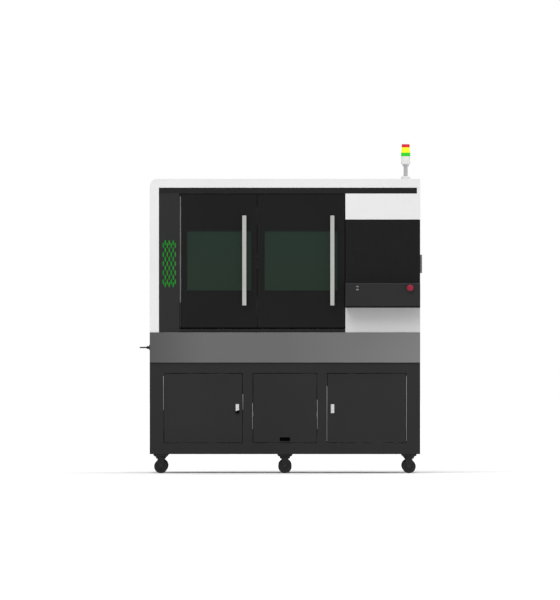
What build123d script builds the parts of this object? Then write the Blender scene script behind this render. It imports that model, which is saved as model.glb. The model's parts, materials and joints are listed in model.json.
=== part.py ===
from build123d import *
import os

os.makedirs("parts", exist_ok=True)

# Laser cutting machine: six casters, a base cabinet with two doors and a scrap drawer,
# a machine bed with its slats and gantry, and an enclosure with a folding front door.
# Millimetres, +Z up, front towards -Y, origin on the floor under the cabinet's centre.

# Cabinet
WIDTH = 1700.0
DEPTH = 1300.0
CASTER_HEIGHT = 120.0
BASE_HEIGHT = 576.0
BED_HEIGHT = 189.0
ENCLOSURE_HEIGHT = 965.0
SHEET = 2.0
BASE_RECESS = 8.0
SHELL_RECESS = 5.0
WELD_GAP = 0.2
FIT_GAP = 0.3
PIN_CLEARANCE = 0.05

# Base cabinet
TUBE = 40.0
TUBE_WALL = 2.5
SIDE_STILE = 87.0
INNER_STILE = 62.0
DRAWER_FRONT_WIDTH = 406.0
BOTTOM_RAIL = 69.0
BASE_DOOR_HEIGHT = 441.0
REVEAL = 4.0
RETURN_DEPTH = 18.0
CORNER_RADIUS = 3.0
LOUVRE_COUNT = 8
LOUVRE_WIDTH = 300.0
LOUVRE_HEIGHT = 10.0
LOUVRE_PITCH = 26.0
LOUVRE_RISE = 6.0
PIVOT_IN = 12.0
PIVOT_BACK = 9.0
PIVOT_RADIUS = 4.0
PIVOT_LENGTH = 14.0

# Base latches
LATCH_WIDTH = 22.0
LATCH_HEIGHT = 58.0
LATCH_PROUD = 9.0
LATCH_CENTRE_Z = 406.0
LATCH_FROM_STILE = 34.0
LATCH_SPINDLE = 7.0
CAM_WIDTH = 16.0
CAM_THICK = 3.0
CAM_BEHIND = 4.0

# Scrap drawer
FINGER_SLOT_WIDTH = 60.0
FINGER_SLOT_HEIGHT = 20.0
FINGER_SLOT_UP = 15.0
BIN_DEPTH = 1000.0
BIN_HEIGHT = 330.0
BIN_SIDE_GAP = 16.0
RUNNER_HEIGHT = 36.0
RUNNER_THICK = 12.0

# Units in the base
CHILLER_SIZE = (420.0, 640.0, 400.0)
SOURCE_SIZE = (430.0, 620.0, 300.0)
UNIT_FOOT = 20.0
FAN_RADIUS = 120.0

# Bed
BED_RIM = 100.0
BED_CORNER = 4.0
RAIL_BEAM_WIDTH = 60.0
BED_HOLE_MARGIN = 4.0
HOPPER_THROAT = 330.0
HOPPER_DROP = 150.0
HOPPER_COLLAR = 24.0

# Slats
SLAT_COUNT = 14
SLAT_THICK = 3.0
SLAT_HEIGHT = 60.0
SLAT_TOOTH_PITCH = 60.0
SLAT_TOOTH_DEPTH = 14.0
SLAT_TIP = 6.0
RACK_BAR = 20.0
RACK_HEIGHT = 50.0
SLAT_TOP_OVER_BED = 28.0

# Enclosure
BAND_LEFT = 58.0
BAND_TOP = 55.0
SHELL_CORNER = 50.0
SHELL_LIP = 22.0
HEADER_HEIGHT = 35.0
HEADER_DEPTH = 40.0
HEADER_WALL = 3.0
HEADER_SIDE = 20.0
COLUMN_GAP = 2.0
COLUMN_WIDTH = 126.0
SILL_HEIGHT = 22.0
SILL_DEPTH = 40.0
PARTITION = 2.0

# Vent slots in the left column
SLOT_LENGTH = 36.0
SLOT_WIDTH = 8.0
SLOT_COLUMNS = 7
SLOT_COLUMN_PITCH = 12.5
SLOT_PITCH = 57.2
SLOT_CENTRE_Z = 1318.0
SLOT_END_PULL = 11.0
DIFFUSER_THICK = 4.0

# Control side
CONTROL_WIDTH = 470.0
HEAD_PANEL_HEIGHT = 163.0
MONITOR_HEIGHT = 399.0
CONSOLE_HEIGHT = 151.0
CONSOLE_PROUD = 115.0
CONSOLE_ROUND = 8.0
PANEL_RETURN = 26.0
STOP_RADIUS = 20.0
STOP_FROM_RIGHT = 63.0
STOP_FROM_TOP = 31.0
STOP_TRAVEL = 5.0
STOP_STEM = 8.0
STOP_HEAD = 14.0
STOP_COLLAR = 24.0
USB_FROM_LEFT = 75.0
USB_FROM_TOP = 22.0
USB_PITCH = 19.0
USB_WIDTH = 14.0
USB_HEIGHT = 7.0

# Folding door
DOOR_RECESS = 5.0
DOOR_THICK = 24.0
DOOR_SKIN = 3.0
DOOR_BOTTOM = 31.0
DOOR_TOP_GAP = 3.0
LEAF_SPLIT = 483.0
LEAF_GAP = 3.0
LEAF_END_GAP = 4.0
BARREL_RADIUS = 6.0
LEAF_EDGE_GAP = 1.0
HINGE_PIN_RADIUS = 2.5
HINGE_LEAF = 2.0
HINGE_LEAF_DEPTH = 20.0
HINGE_LENGTH = 667.0
HINGE_FROM_TOP = 15.0
KNUCKLES = 9
FOLD_BARREL = 5.0
FOLD_KNUCKLE = 34.0
FOLD_PLATE = 22.0
FOLD_COUNT = 3
GUIDE_PIN_RADIUS = 4.0
GUIDE_CLEARANCE = 1.0
GUIDE_LENGTH = 12.0
WINDOW_BOTTOM = 230.0
WINDOW_HEIGHT = 379.0
WINDOW_SIDE_LEFT = 32.0
WINDOW_SIDE_RIGHT = 42.0
GLASS_THICK = 5.0
GLASS_LAP = 8.0
HANDLE_WIDTH = 25.0
HANDLE_LENGTH = 565.0
HANDLE_BAR = 12.0
HANDLE_PROUD = 45.0
HANDLE_BOTTOM = 139.0
HANDLE_LEFT_FROM_SPLIT = 79.0
HANDLE_RIGHT_FROM_END = 78.0

# Right wall and its service door
SERVICE_WIDTH = 460.0
SERVICE_HEIGHT = 620.0
SERVICE_BOTTOM = 130.0
SERVICE_CENTRE_Y = 60.0
SERVICE_THICK = 16.0
PULL_PROUD = 15.0
PULL_LENGTH = 116.0
PULL_WIDTH = 24.0
PULL_CENTRE_Z = 1317.0

# Signal tower
TOWER_X = 760.0
TOWER_Y = -420.0
TOWER_FLANGE_RADIUS = 30.0
TOWER_FLANGE = 19.0
TOWER_POLE_RADIUS = 13.0
TOWER_POLE = 61.0
TOWER_COLLAR_RADIUS = 20.0
TOWER_COLLAR = 13.0
TOWER_BODY_RADIUS = 29.0
TOWER_BODY = 51.0
LENS_TAPER = 1.5
LENS_HEIGHTS = (22.0, 34.0, 20.0)
LENS_RADII = (30.0, 27.0, 26.0)

# Services on the walls
GAS_Z = 790.0
GAS_Y = -420.0
GAS_FOOT = (4.0, 34.0, 34.0)
GAS_NUT_RADIUS = 9.0
GAS_NUT_LENGTH = 16.0
GAS_TAIL_RADIUS = 4.3
GAS_TAIL_LENGTH = 44.0
EXHAUST_RADIUS = 75.0
EXHAUST_LENGTH = 60.0
EXHAUST_Z = 330.0

# Motion system
RAIL_WIDTH = 23.0
RAIL_HEIGHT = 22.0
RAIL_LENGTH = 1060.0
CARRIAGE_LENGTH = 150.0
CARRIAGE_WIDTH = 52.0
RAIL_WAIST = 5.0
REST_FROM_END = 10.0
CARRIAGE_HEIGHT = 60.0
BEAM_DEPTH = 90.0
BEAM_HEIGHT = 110.0
BEAM_WALL = 8.0
RIDGE_WIDTH = 16.0
RIDGE_PROUD = 14.0
RIDGE_FROM_EDGE = 20.0
HEAD_REST_X = 120.0
LIFT_PLATE = (80.0, 10.0, 160.0)
HEAD_PLATE = (120.0, 14.0, 190.0)
HEAD_STANDOFF = 4.0
HEAD_RADIUS = 34.0
HEAD_LENGTH = 210.0
NOZZLE_RADIUS = 14.0
NOZZLE_TIP = 3.0
NOZZLE_LENGTH = 46.0
NOZZLE_OVER_SLATS = 70.0

# Casters
CASTER_INSET_X = 70.0
CASTER_INSET_Y = 64.0
WHEEL_RADIUS = 42.5
WHEEL_WIDTH = 32.0
WHEEL_BORE = 8.0
PLATE_SIZE = 94.0
PLATE_THICK = 9.0
RACE_TOP_RADIUS = 36.0
RACE_FOOT_RADIUS = 30.0
RACE_HEIGHT = 19.0
FORK_TOP_WIDTH = 44.0
FORK_END_RADIUS = 11.0
FORK_PLATE = 4.0
FORK_GAP = 2.0
AXLE_HEAD_RADIUS = 8.5
AXLE_HEAD = 5.0
HUB_RADIUS = 28.0
HUB_RECESS = 5.0
BOSS_RADIUS = 14.0
TREAD_ROUND = 5.0

# Levels and planes worked out from the sizes above
half = WIDTH / 2
front = -DEPTH / 2
back = DEPTH / 2
base_z = CASTER_HEIGHT
bed_z = base_z + BASE_HEIGHT
deck_z = bed_z + BED_HEIGHT
roof_z = deck_z + ENCLOSURE_HEIGHT
base_front = front + BASE_RECESS
base_back = back - BASE_RECESS
shell_front = front + SHELL_RECESS
shell_back = back - SHELL_RECESS
header_top = roof_z - BAND_TOP - COLUMN_GAP
header_bottom = header_top - HEADER_HEIGHT
column_left = -half + BAND_LEFT + COLUMN_GAP
column_right = column_left + COLUMN_WIDTH
control_left = half - CONTROL_WIDTH


def save(part, node):
    """Label a finished piece and write it as its own file."""
    part.label = node
    export_step(part, f"parts/{node}.step")


def middle(limits):
    """Halfway between two limits."""
    return (limits[0] + limits[1]) / 2


def block(x, y, z, mode=Mode.ADD):
    """A rectangular piece between its limits along x, y and z."""
    with Locations((middle(x), middle(y), middle(z))):
        Box(x[1] - x[0], y[1] - y[0], z[1] - z[0], mode=mode)


def window(x, z, y, radius=0.0, mode=Mode.SUBTRACT):
    """A prism along y with a rectangular or rounded outline in x and z."""
    with BuildSketch(Plane.XZ.offset(-y[1])) as outline:
        with Locations((middle(x), middle(z))):
            if radius > 0:
                RectangleRounded(x[1] - x[0], z[1] - z[0], radius)
            else:
                Rectangle(x[1] - x[0], z[1] - z[0])
    extrude(outline.sketch, amount=y[1] - y[0], mode=mode)


def side_window(y, z, x, radius=0.0, mode=Mode.SUBTRACT):
    """A prism along x with a rectangular or rounded outline in y and z."""
    with BuildSketch(Plane.YZ.offset(x[0])) as outline:
        with Locations((middle(y), middle(z))):
            if radius > 0:
                RectangleRounded(y[1] - y[0], z[1] - z[0], radius)
            else:
                Rectangle(y[1] - y[0], z[1] - z[0])
    extrude(outline.sketch, amount=x[1] - x[0], mode=mode)


def round_bar(start, direction, radius, length, mode=Mode.ADD):
    """A cylinder that starts at a point and runs along a direction."""
    with BuildSketch(Plane(origin=start, z_dir=direction)) as disc:
        Circle(radius)
    extrude(disc.sketch, amount=length, mode=mode)


def hollow_tube(plane, size, length):
    """A square or rectangular tube with its section centred on a plane."""
    with BuildSketch(plane) as section:
        Rectangle(*size)
        Rectangle(size[0] - 2 * TUBE_WALL, size[1] - 2 * TUBE_WALL, mode=Mode.SUBTRACT)
    extrude(section.sketch, amount=length)


def tray(x, z, face, depth, wall):
    """A folded sheet door: a flat face towards -Y with a return along each edge."""
    window(x, z, (face, face + depth), CORNER_RADIUS, Mode.ADD)
    inner_x = (x[0] + wall, x[1] - wall)
    inner_z = (z[0] + wall, z[1] - wall)
    window(inner_x, inner_z, (face + wall, face + depth))


# Base cabinet: places shared by its pieces
opening_bottom = base_z + BOTTOM_RAIL
opening_top = opening_bottom + BASE_DOOR_HEIGHT
opening_z = (opening_bottom, opening_top)
drawer_half = DRAWER_FRONT_WIDTH / 2
door_inner = drawer_half + INNER_STILE
door_outer = half - SIDE_STILE
frame_x = half - SHEET - TUBE / 2
frame_front = base_front + SHEET + TUBE / 2
frame_back = base_back - SHEET - TUBE / 2
stile_x = drawer_half + INNER_STILE / 2
post_bottom = base_z + TUBE + WELD_GAP
post_height = bed_z - TUBE - WELD_GAP - post_bottom
cross_start = frame_front + TUBE / 2 + WELD_GAP
cross_length = frame_back - TUBE / 2 - WELD_GAP - cross_start
floor_z = base_z + TUBE

# Welded frame of square tubes, a closed ring at the bottom and top with posts between
with BuildPart() as base_frame:
    for y in (frame_front, frame_back):
        for z in (base_z + TUBE / 2, bed_z - TUBE / 2):
            rail_plane = Plane(origin=(-half + SHEET, y, z), z_dir=(1, 0, 0))
            hollow_tube(rail_plane, (TUBE, TUBE), WIDTH - 2 * SHEET)
        for x in (-frame_x, -stile_x, stile_x, frame_x):
            hollow_tube(Plane(origin=(x, y, post_bottom)), (TUBE, TUBE), post_height)
    for x in (-frame_x, -stile_x, stile_x, frame_x):
        low_plane = Plane(origin=(x, cross_start, base_z + TUBE / 2), z_dir=(0, 1, 0))
        hollow_tube(low_plane, (TUBE, TUBE), cross_length)
    for x in (-frame_x, frame_x):
        high_plane = Plane(origin=(x, cross_start, bed_z - TUBE / 2), z_dir=(0, 1, 0))
        hollow_tube(high_plane, (TUBE, TUBE), cross_length)
save(base_frame.part, "base_frame")

# Folded front sheet with three openings, each with a return flange behind its edge
fascia_openings = (
    (-door_outer, -door_inner),
    (-drawer_half, drawer_half),
    (door_inner, door_outer),
)
pivot_x = door_outer - REVEAL - PIVOT_IN
pivot_y = base_front + PIVOT_BACK
with BuildPart() as base_fascia:
    window((-half, half), (base_z, bed_z), (base_front, base_front + SHEET), mode=Mode.ADD)
    for opening in fascia_openings:
        outer_x = (opening[0] - SHEET, opening[1] + SHEET)
        outer_z = (opening_z[0] - SHEET, opening_z[1] + SHEET)
        flange_y = (base_front + SHEET, base_front + RETURN_DEPTH)
        window(outer_x, outer_z, flange_y, mode=Mode.ADD)
    for opening in fascia_openings:
        window(opening, opening_z, (base_front, base_front + RETURN_DEPTH))
    for x in (-pivot_x, pivot_x):
        for z in (opening_bottom - SHEET, opening_top):
            round_bar((x, pivot_y, z), (0, 0, 1), PIVOT_RADIUS + PIN_CLEARANCE, SHEET, Mode.SUBTRACT)
save(base_fascia.part, "base_fascia")

# Side sheets, louvred back sheet and floor sheet, four separate pieces
skin_y = (base_front + SHEET, base_back - SHEET - WELD_GAP)
back_y = (base_back - SHEET, base_back)
floor_limit = frame_x + TUBE / 2 - WELD_GAP
with BuildPart() as base_skin:
    for side in (-1, 1):
        side_x = sorted((side * (half - SHEET + WELD_GAP / 2), side * half))
        side_window(skin_y, (base_z, bed_z), side_x, mode=Mode.ADD)
    window((-half, half), (base_z, bed_z), back_y, mode=Mode.ADD)
    louvre_stack = (LOUVRE_COUNT - 1) * LOUVRE_PITCH
    louvre_z = middle(opening_z) - louvre_stack / 2
    for x in (-middle((door_inner, door_outer)), middle((door_inner, door_outer))):
        for step in range(LOUVRE_COUNT):
            slot_z = (louvre_z + step * LOUVRE_PITCH, louvre_z + step * LOUVRE_PITCH + LOUVRE_HEIGHT)
            with BuildSketch(Plane.YZ.offset(x - LOUVRE_WIDTH / 2)) as hood:
                with BuildLine():
                    Polyline(
                        (base_back, slot_z[1] + LOUVRE_RISE),
                        (base_back + LOUVRE_HEIGHT, slot_z[0] + LOUVRE_RISE),
                        (base_back + LOUVRE_HEIGHT, slot_z[0]),
                        (base_back, slot_z[1]),
                        close=True,
                    )
                make_face()
            extrude(hood.sketch, amount=LOUVRE_WIDTH)
            slot_x = (x - LOUVRE_WIDTH / 2, x + LOUVRE_WIDTH / 2)
            window(slot_x, slot_z, back_y)
    round_bar((0, back_y[0], EXHAUST_Z), (0, 1, 0), EXHAUST_RADIUS + FIT_GAP, SHEET, Mode.SUBTRACT)
    block((-floor_limit, floor_limit), (skin_y[0] + WELD_GAP, skin_y[1]), (floor_z, floor_z + SHEET))
    post_cut = TUBE / 2 + WELD_GAP
    for x in (-frame_x, -stile_x, stile_x, frame_x):
        for y in (frame_front, frame_back):
            cut_x = (x - post_cut, x + post_cut)
            cut_y = (y - post_cut, y + post_cut)
            block(cut_x, cut_y, (floor_z, floor_z + SHEET), Mode.SUBTRACT)
save(base_skin.part, "base_skin")

# Base doors: folded trays that turn on pins at their outer edge
door_z = (opening_bottom + REVEAL, opening_top - REVEAL)
latch_x = door_inner + LATCH_FROM_STILE
for side, node in ((-1, "base_door_left"), (1, "base_door_right")):
    door_x = sorted((side * (door_inner + REVEAL), side * (door_outer - REVEAL)))
    with BuildPart() as base_door:
        tray(door_x, door_z, base_front, RETURN_DEPTH, SHEET)
        for z in (door_z[0], door_z[1] - SHEET):
            hole_start = (side * pivot_x, pivot_y, z)
            round_bar(hole_start, (0, 0, 1), PIVOT_RADIUS + PIN_CLEARANCE, SHEET, Mode.SUBTRACT)
        spindle_start = (side * latch_x, base_front, LATCH_CENTRE_Z)
        round_bar(spindle_start, (0, 1, 0), LATCH_SPINDLE + PIN_CLEARANCE, SHEET, Mode.SUBTRACT)
    save(base_door.part, node)

# Headed pivot pins, dropped and pushed through the flanges into the doors
with BuildPart() as base_hinges:
    for x in (-pivot_x, pivot_x):
        pin_end = door_z[1] - PIVOT_LENGTH
        round_bar((x, pivot_y, pin_end), (0, 0, 1), PIVOT_RADIUS, opening_top + SHEET - pin_end)
        round_bar((x, pivot_y, opening_top + SHEET), (0, 0, 1), PIVOT_RADIUS * 1.75, CAM_THICK)
        pin_end = door_z[0] + PIVOT_LENGTH
        round_bar((x, pivot_y, pin_end), (0, 0, -1), PIVOT_RADIUS, pin_end - opening_bottom + SHEET)
        round_bar((x, pivot_y, opening_bottom - SHEET), (0, 0, -1), PIVOT_RADIUS * 1.75, CAM_THICK)
save(base_hinges.part, "base_hinges")

# Quarter-turn latches: a chromed grip, its spindle and the cam behind the door
cam_y = base_front + RETURN_DEPTH + CAM_BEHIND
cam_length = INNER_STILE / 2 - TUBE / 2 + LATCH_FROM_STILE - CAM_THICK
for side, node in ((-1, "latch_left"), (1, "latch_right")):
    with BuildPart() as latch:
        x = side * latch_x
        grip_x = (x - LATCH_WIDTH / 2, x + LATCH_WIDTH / 2)
        grip_z = (LATCH_CENTRE_Z - LATCH_HEIGHT / 2, LATCH_CENTRE_Z + LATCH_HEIGHT / 2)
        grip_y = (base_front - FIT_GAP - LATCH_PROUD, base_front - FIT_GAP)
        window(grip_x, grip_z, grip_y, CORNER_RADIUS, Mode.ADD)
        chamfer(latch.faces().sort_by(Axis.Y)[0].edges(), LATCH_PROUD / 4)
        round_bar((x, grip_y[1], LATCH_CENTRE_Z), (0, 1, 0), LATCH_SPINDLE, cam_y - grip_y[1])
        cam_z = (LATCH_CENTRE_Z - cam_length, LATCH_CENTRE_Z + CAM_WIDTH / 2)
        cam_x = (x - CAM_WIDTH / 2, x + CAM_WIDTH / 2)
        window(cam_x, cam_z, (cam_y, cam_y + CAM_THICK), CORNER_RADIUS, Mode.ADD)
    save(latch.part, node)

# Scrap drawer: a front like the doors, with a finger slot, and an open bin on runners
runner_outer = stile_x - TUBE / 2
bin_half = runner_outer - 2 * RUNNER_THICK - FIT_GAP
bin_front = base_front + RETURN_DEPTH
bin_bottom = opening_bottom + BIN_SIDE_GAP
bin_y = (bin_front, bin_front + BIN_DEPTH)
bin_z = (bin_bottom, bin_bottom + BIN_HEIGHT)
with BuildPart() as scrap_drawer_front:
    front_x = (-drawer_half + REVEAL, drawer_half - REVEAL)
    tray(front_x, door_z, base_front, RETURN_DEPTH, SHEET)
    slot_z = (opening_bottom + FINGER_SLOT_UP, opening_bottom + FINGER_SLOT_UP + FINGER_SLOT_HEIGHT)
    finger_x = (-FINGER_SLOT_WIDTH / 2, FINGER_SLOT_WIDTH / 2)
    window(finger_x, slot_z, (base_front, base_front + SHEET), CORNER_RADIUS)
save(scrap_drawer_front.part, "scrap_drawer_front")

# Bin with the moving half of its runners along both sides
runner_z = (middle(bin_z) - RUNNER_HEIGHT / 2, middle(bin_z) + RUNNER_HEIGHT / 2)
groove_z = (runner_z[0] + RUNNER_THICK / 2, runner_z[1] - RUNNER_THICK / 2)
with BuildPart() as scrap_bin:
    block((-bin_half, bin_half), bin_y, bin_z)
    inner_y = (bin_y[0] + SHEET, bin_y[1] - SHEET)
    block((-bin_half + SHEET, bin_half - SHEET), inner_y, (bin_z[0] + SHEET, bin_z[1]), Mode.SUBTRACT)
    for side in (-1, 1):
        slide_x = sorted((side * bin_half, side * (bin_half + RUNNER_THICK)))
        block(slide_x, bin_y, groove_z)
save(scrap_bin.part, "scrap_bin")

# Fixed runners on the posts, beside the pair on the bin
with BuildPart() as drawer_rails:
    for side in (-1, 1):
        rail_x = sorted((side * (runner_outer - RUNNER_THICK), side * runner_outer))
        rail_y = (bin_front + FIT_GAP, frame_back + TUBE / 2)
        block(rail_x, rail_y, runner_z)
save(drawer_rails.part, "drawer_rails")

# Chiller: a casing with a fan guard, a filler cap and feet
unit_front = cam_y + TUBE
chiller_x = (-door_outer + REVEAL, -door_outer + REVEAL + CHILLER_SIZE[0])
chiller_y = (unit_front, unit_front + CHILLER_SIZE[1])
unit_floor = floor_z + SHEET
chiller_z = (unit_floor + UNIT_FOOT, unit_floor + UNIT_FOOT + CHILLER_SIZE[2])
with BuildPart() as chiller:
    block(chiller_x, chiller_y, chiller_z)
    fillet(chiller.edges().filter_by(Axis.Z), CORNER_RADIUS * 2)
    fan_centre = (middle(chiller_x), chiller_y[0], middle(chiller_z))
    for outer in (FAN_RADIUS, FAN_RADIUS / 2):
        round_bar(fan_centre, (0, 1, 0), outer, UNIT_FOOT, Mode.SUBTRACT)
        round_bar(fan_centre, (0, 1, 0), outer - FAN_RADIUS / 4, UNIT_FOOT)
    round_bar((middle(chiller_x), middle(chiller_y), chiller_z[1]), (0, 0, 1), UNIT_FOOT, UNIT_FOOT)
    for x in (chiller_x[0] + TUBE, chiller_x[1] - TUBE):
        for y in (chiller_y[0] + TUBE, chiller_y[1] - TUBE):
            round_bar((x, y, unit_floor), (0, 0, 1), UNIT_FOOT, UNIT_FOOT)
save(chiller.part, "chiller")

# Laser source: a rack case with two pull handles and a vent field
source_x = (door_outer - REVEAL - SOURCE_SIZE[0], door_outer - REVEAL)
source_y = (unit_front, unit_front + SOURCE_SIZE[1])
source_z = (unit_floor + UNIT_FOOT, unit_floor + UNIT_FOOT + SOURCE_SIZE[2])
with BuildPart() as laser_source:
    block(source_x, source_y, source_z)
    for step in range(6):
        vent_z = source_z[0] + TUBE + step * UNIT_FOOT
        vent_x = (source_x[0] + 2 * TUBE, source_x[1] - 2 * TUBE)
        vent_y = (source_y[0], source_y[0] + CAM_THICK)
        block(vent_x, vent_y, (vent_z, vent_z + CAM_THICK * 2), Mode.SUBTRACT)
    for x in (source_x[0] + TUBE / 2, source_x[1] - TUBE / 2):
        grip_low = middle(source_z) - TUBE
        grip_high = middle(source_z) + TUBE
        pull_x = (x - CAM_THICK, x + CAM_THICK)
        hand_z = (grip_low + CAM_THICK * 2, grip_high - CAM_THICK * 2)
        block(pull_x, (source_y[0] - TUBE / 2, source_y[0]), (grip_low, grip_high))
        block(pull_x, (source_y[0] - TUBE / 4, source_y[0]), hand_z, Mode.SUBTRACT)
    for x in (source_x[0] + TUBE, source_x[1] - TUBE):
        for y in (source_y[0] + TUBE, source_y[1] - TUBE):
            round_bar((x, y, unit_floor), (0, 0, 1), UNIT_FOOT, UNIT_FOOT)
save(laser_source.part, "laser_source")

# Bed: a heavy ring with a rail beam on each side of the cutting chamber
chamber_left = column_right
chamber_right = control_left - LEAF_END_GAP
hole_left = chamber_left + BED_HOLE_MARGIN + RAIL_BEAM_WIDTH
hole_x = (hole_left, chamber_right + BED_HOLE_MARGIN - RAIL_BEAM_WIDTH)
hole_y = (front + BED_RIM, back - BED_RIM)
with BuildPart() as bed_frame:
    with BuildSketch(Plane.XY.offset(bed_z)) as bed_plan:
        RectangleRounded(WIDTH, DEPTH, BED_CORNER)
        side_holes = (
            (-half + BED_RIM, hole_x[0] - RAIL_BEAM_WIDTH),
            hole_x,
            (hole_x[1] + RAIL_BEAM_WIDTH, half - BED_RIM),
        )
        for hole in side_holes:
            with Locations((middle(hole), 0)):
                Rectangle(hole[1] - hole[0], hole_y[1] - hole_y[0], mode=Mode.SUBTRACT)
    extrude(bed_plan.sketch, amount=BED_HEIGHT)
save(bed_frame.part, "bed_frame")

# Hopper: a collar inside the bed and four walls that narrow to the bin's mouth
throat_z = bin_z[1] + UNIT_FOOT
throat_y = (hole_y[0] + HOPPER_DROP, bin_y[1] - UNIT_FOOT)
hopper_top = bed_z + HOPPER_COLLAR
with BuildPart() as hopper:
    for inset, mode in ((0.0, Mode.ADD), (SHEET, Mode.SUBTRACT)):
        inset_x = (hole_x[0] + inset, hole_x[1] - inset)
        inset_y = (hole_y[0] + inset, hole_y[1] - inset)
        block(inset_x, inset_y, (bed_z - TUBE, hopper_top), mode)
        with BuildSketch(Plane.XY.offset(bed_z - TUBE)) as hopper_wide:
            with Locations((middle(inset_x), middle(inset_y))):
                Rectangle(inset_x[1] - inset_x[0], inset_y[1] - inset_y[0])
        with BuildSketch(Plane.XY.offset(throat_z)) as hopper_throat:
            with Locations((0, middle(throat_y))):
                Rectangle(HOPPER_THROAT - 2 * inset, throat_y[1] - throat_y[0] - 2 * inset)
        loft([hopper_wide.sketch, hopper_throat.sketch], mode=mode)
save(hopper.part, "hopper")

# Slat rack: two notched bars along the bed's inner faces
slat_top = deck_z + SLAT_TOP_OVER_BED
slat_bottom = slat_top - SLAT_HEIGHT
rack_z = (slat_bottom - RACK_BAR / 2, slat_bottom - RACK_BAR / 2 + RACK_HEIGHT)
slat_pitch = (hole_y[1] - hole_y[0] - RACK_BAR * 3) / (SLAT_COUNT - 1)
slat_ys = [hole_y[0] + RACK_BAR * 1.5 + step * slat_pitch for step in range(SLAT_COUNT)]
with BuildPart() as slat_rack:
    for side in (0, 1):
        inward = RACK_BAR if side == 0 else -RACK_BAR
        bar_x = sorted((hole_x[side], hole_x[side] + inward))
        block(bar_x, hole_y, rack_z)
        for y in slat_ys:
            notch_y = (y - SLAT_THICK / 2 - FIT_GAP, y + SLAT_THICK / 2 + FIT_GAP)
            block(bar_x, notch_y, (slat_bottom, rack_z[1]), Mode.SUBTRACT)
save(slat_rack.part, "slat_rack")

# Slats: toothed blades that carry the sheet on their tips
slat_length = hole_x[1] - hole_x[0] - 2 * FIT_GAP
teeth = int(slat_length // SLAT_TOOTH_PITCH)
tooth_start = hole_x[0] + FIT_GAP + (slat_length - teeth * SLAT_TOOTH_PITCH) / 2
valley_z = slat_top - SLAT_TOOTH_DEPTH
tooth_line = []
for tooth in range(teeth):
    valley = tooth_start + tooth * SLAT_TOOTH_PITCH
    peak = valley + SLAT_TOOTH_PITCH / 2
    tooth_line += [(valley, valley_z), (peak - SLAT_TIP / 2, slat_top), (peak + SLAT_TIP / 2, slat_top)]
tooth_line.append((tooth_start + teeth * SLAT_TOOTH_PITCH, valley_z))
slat_ends = (hole_x[0] + FIT_GAP, hole_x[1] - FIT_GAP)
with BuildPart() as bed_slats:
    for y in slat_ys:
        with BuildSketch(Plane.XZ.offset(-y - SLAT_THICK / 2)) as blade:
            with BuildLine():
                Polyline(
                    (slat_ends[0], slat_bottom),
                    (slat_ends[0], valley_z),
                    *tooth_line,
                    (slat_ends[1], valley_z),
                    (slat_ends[1], slat_bottom),
                    close=True,
                )
            make_face()
        extrude(blade.sketch, amount=SLAT_THICK)
save(bed_slats.part, "bed_slats")

# Roof shell: the left wall and roof folded from one sheet round a large bend,
# with a wide band across the front and a lip behind the band
def shell_outline(plane, left, top):
    """An angle section in x and z, its outer bend rounded, for the shell's skin or band."""
    with BuildSketch(plane) as outline:
        with Locations((0, middle((deck_z, roof_z)))):
            Rectangle(WIDTH, ENCLOSURE_HEIGHT)
        fillet(outline.vertices().sort_by(Axis.X)[:2].sort_by(Axis.Y)[-1], SHELL_CORNER)
        with BuildSketch(plane) as inside:
            with Locations(((-half + left + half) / 2, (deck_z + roof_z - top) / 2)):
                Rectangle(WIDTH - left, ENCLOSURE_HEIGHT - top)
            bend = max(SHELL_CORNER - left, FIT_GAP)
            fillet(inside.vertices().sort_by(Axis.X)[:2].sort_by(Axis.Y)[-1], bend)
        add(inside.sketch, mode=Mode.SUBTRACT)
    return outline.sketch


shell_length = shell_back - shell_front
with BuildPart() as roof_shell:
    extrude(shell_outline(Plane.XZ.offset(-shell_back), SHEET, SHEET), amount=shell_length)
    extrude(shell_outline(Plane.XZ.offset(-shell_front - SHEET), BAND_LEFT, BAND_TOP), amount=SHEET)
    lip_plane = Plane.XZ.offset(-shell_front - SHELL_LIP)
    extrude(shell_outline(lip_plane, BAND_LEFT, BAND_TOP), amount=SHELL_LIP)
    inner_band = shell_outline(lip_plane, BAND_LEFT - SHEET, BAND_TOP - SHEET)
    extrude(inner_band, amount=SHELL_LIP - SHEET, mode=Mode.SUBTRACT)
    extrude(shell_outline(lip_plane, SHEET, SHEET), amount=SHELL_LIP)
save(roof_shell.part, "roof_shell")

# Right wall: an ear beside the header, and a flanged opening for the service door
ceiling_z = roof_z - SHEET
service_y = (SERVICE_CENTRE_Y - SERVICE_WIDTH / 2, SERVICE_CENTRE_Y + SERVICE_WIDTH / 2)
service_z = (deck_z + SERVICE_BOTTOM, deck_z + SERVICE_BOTTOM + SERVICE_HEIGHT)
service_pivot = (half - PIVOT_BACK, service_y[1] - REVEAL - PIVOT_IN)
wall_x = (half - SHEET, half)
with BuildPart() as right_wall:
    side_window((shell_front + PANEL_RETURN, shell_back), (deck_z, ceiling_z), wall_x, mode=Mode.ADD)
    side_window((shell_front + SHELL_LIP, shell_back), (header_bottom, ceiling_z), wall_x, mode=Mode.ADD)
    ear_z = (header_bottom, roof_z - BAND_TOP)
    side_window((shell_front, shell_back), ear_z, wall_x, mode=Mode.ADD)
    block((half - HEADER_SIDE, half), (shell_front, shell_front + SHEET), ear_z)
    flange_y = (service_y[0] - SHEET, service_y[1] + SHEET)
    flange_z = (service_z[0] - SHEET, service_z[1] + SHEET)
    side_window(flange_y, flange_z, (half - RETURN_DEPTH, half), mode=Mode.ADD)
    side_window(service_y, service_z, (half - RETURN_DEPTH, half))
    for z, up in ((service_z[1] + SHEET, -1), (service_z[0] - SHEET, 1)):
        pin_start = (service_pivot[0], service_pivot[1], z)
        round_bar(pin_start, (0, 0, up), PIVOT_RADIUS, SHEET + REVEAL + PIVOT_LENGTH)
save(right_wall.part, "right_wall")

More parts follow.
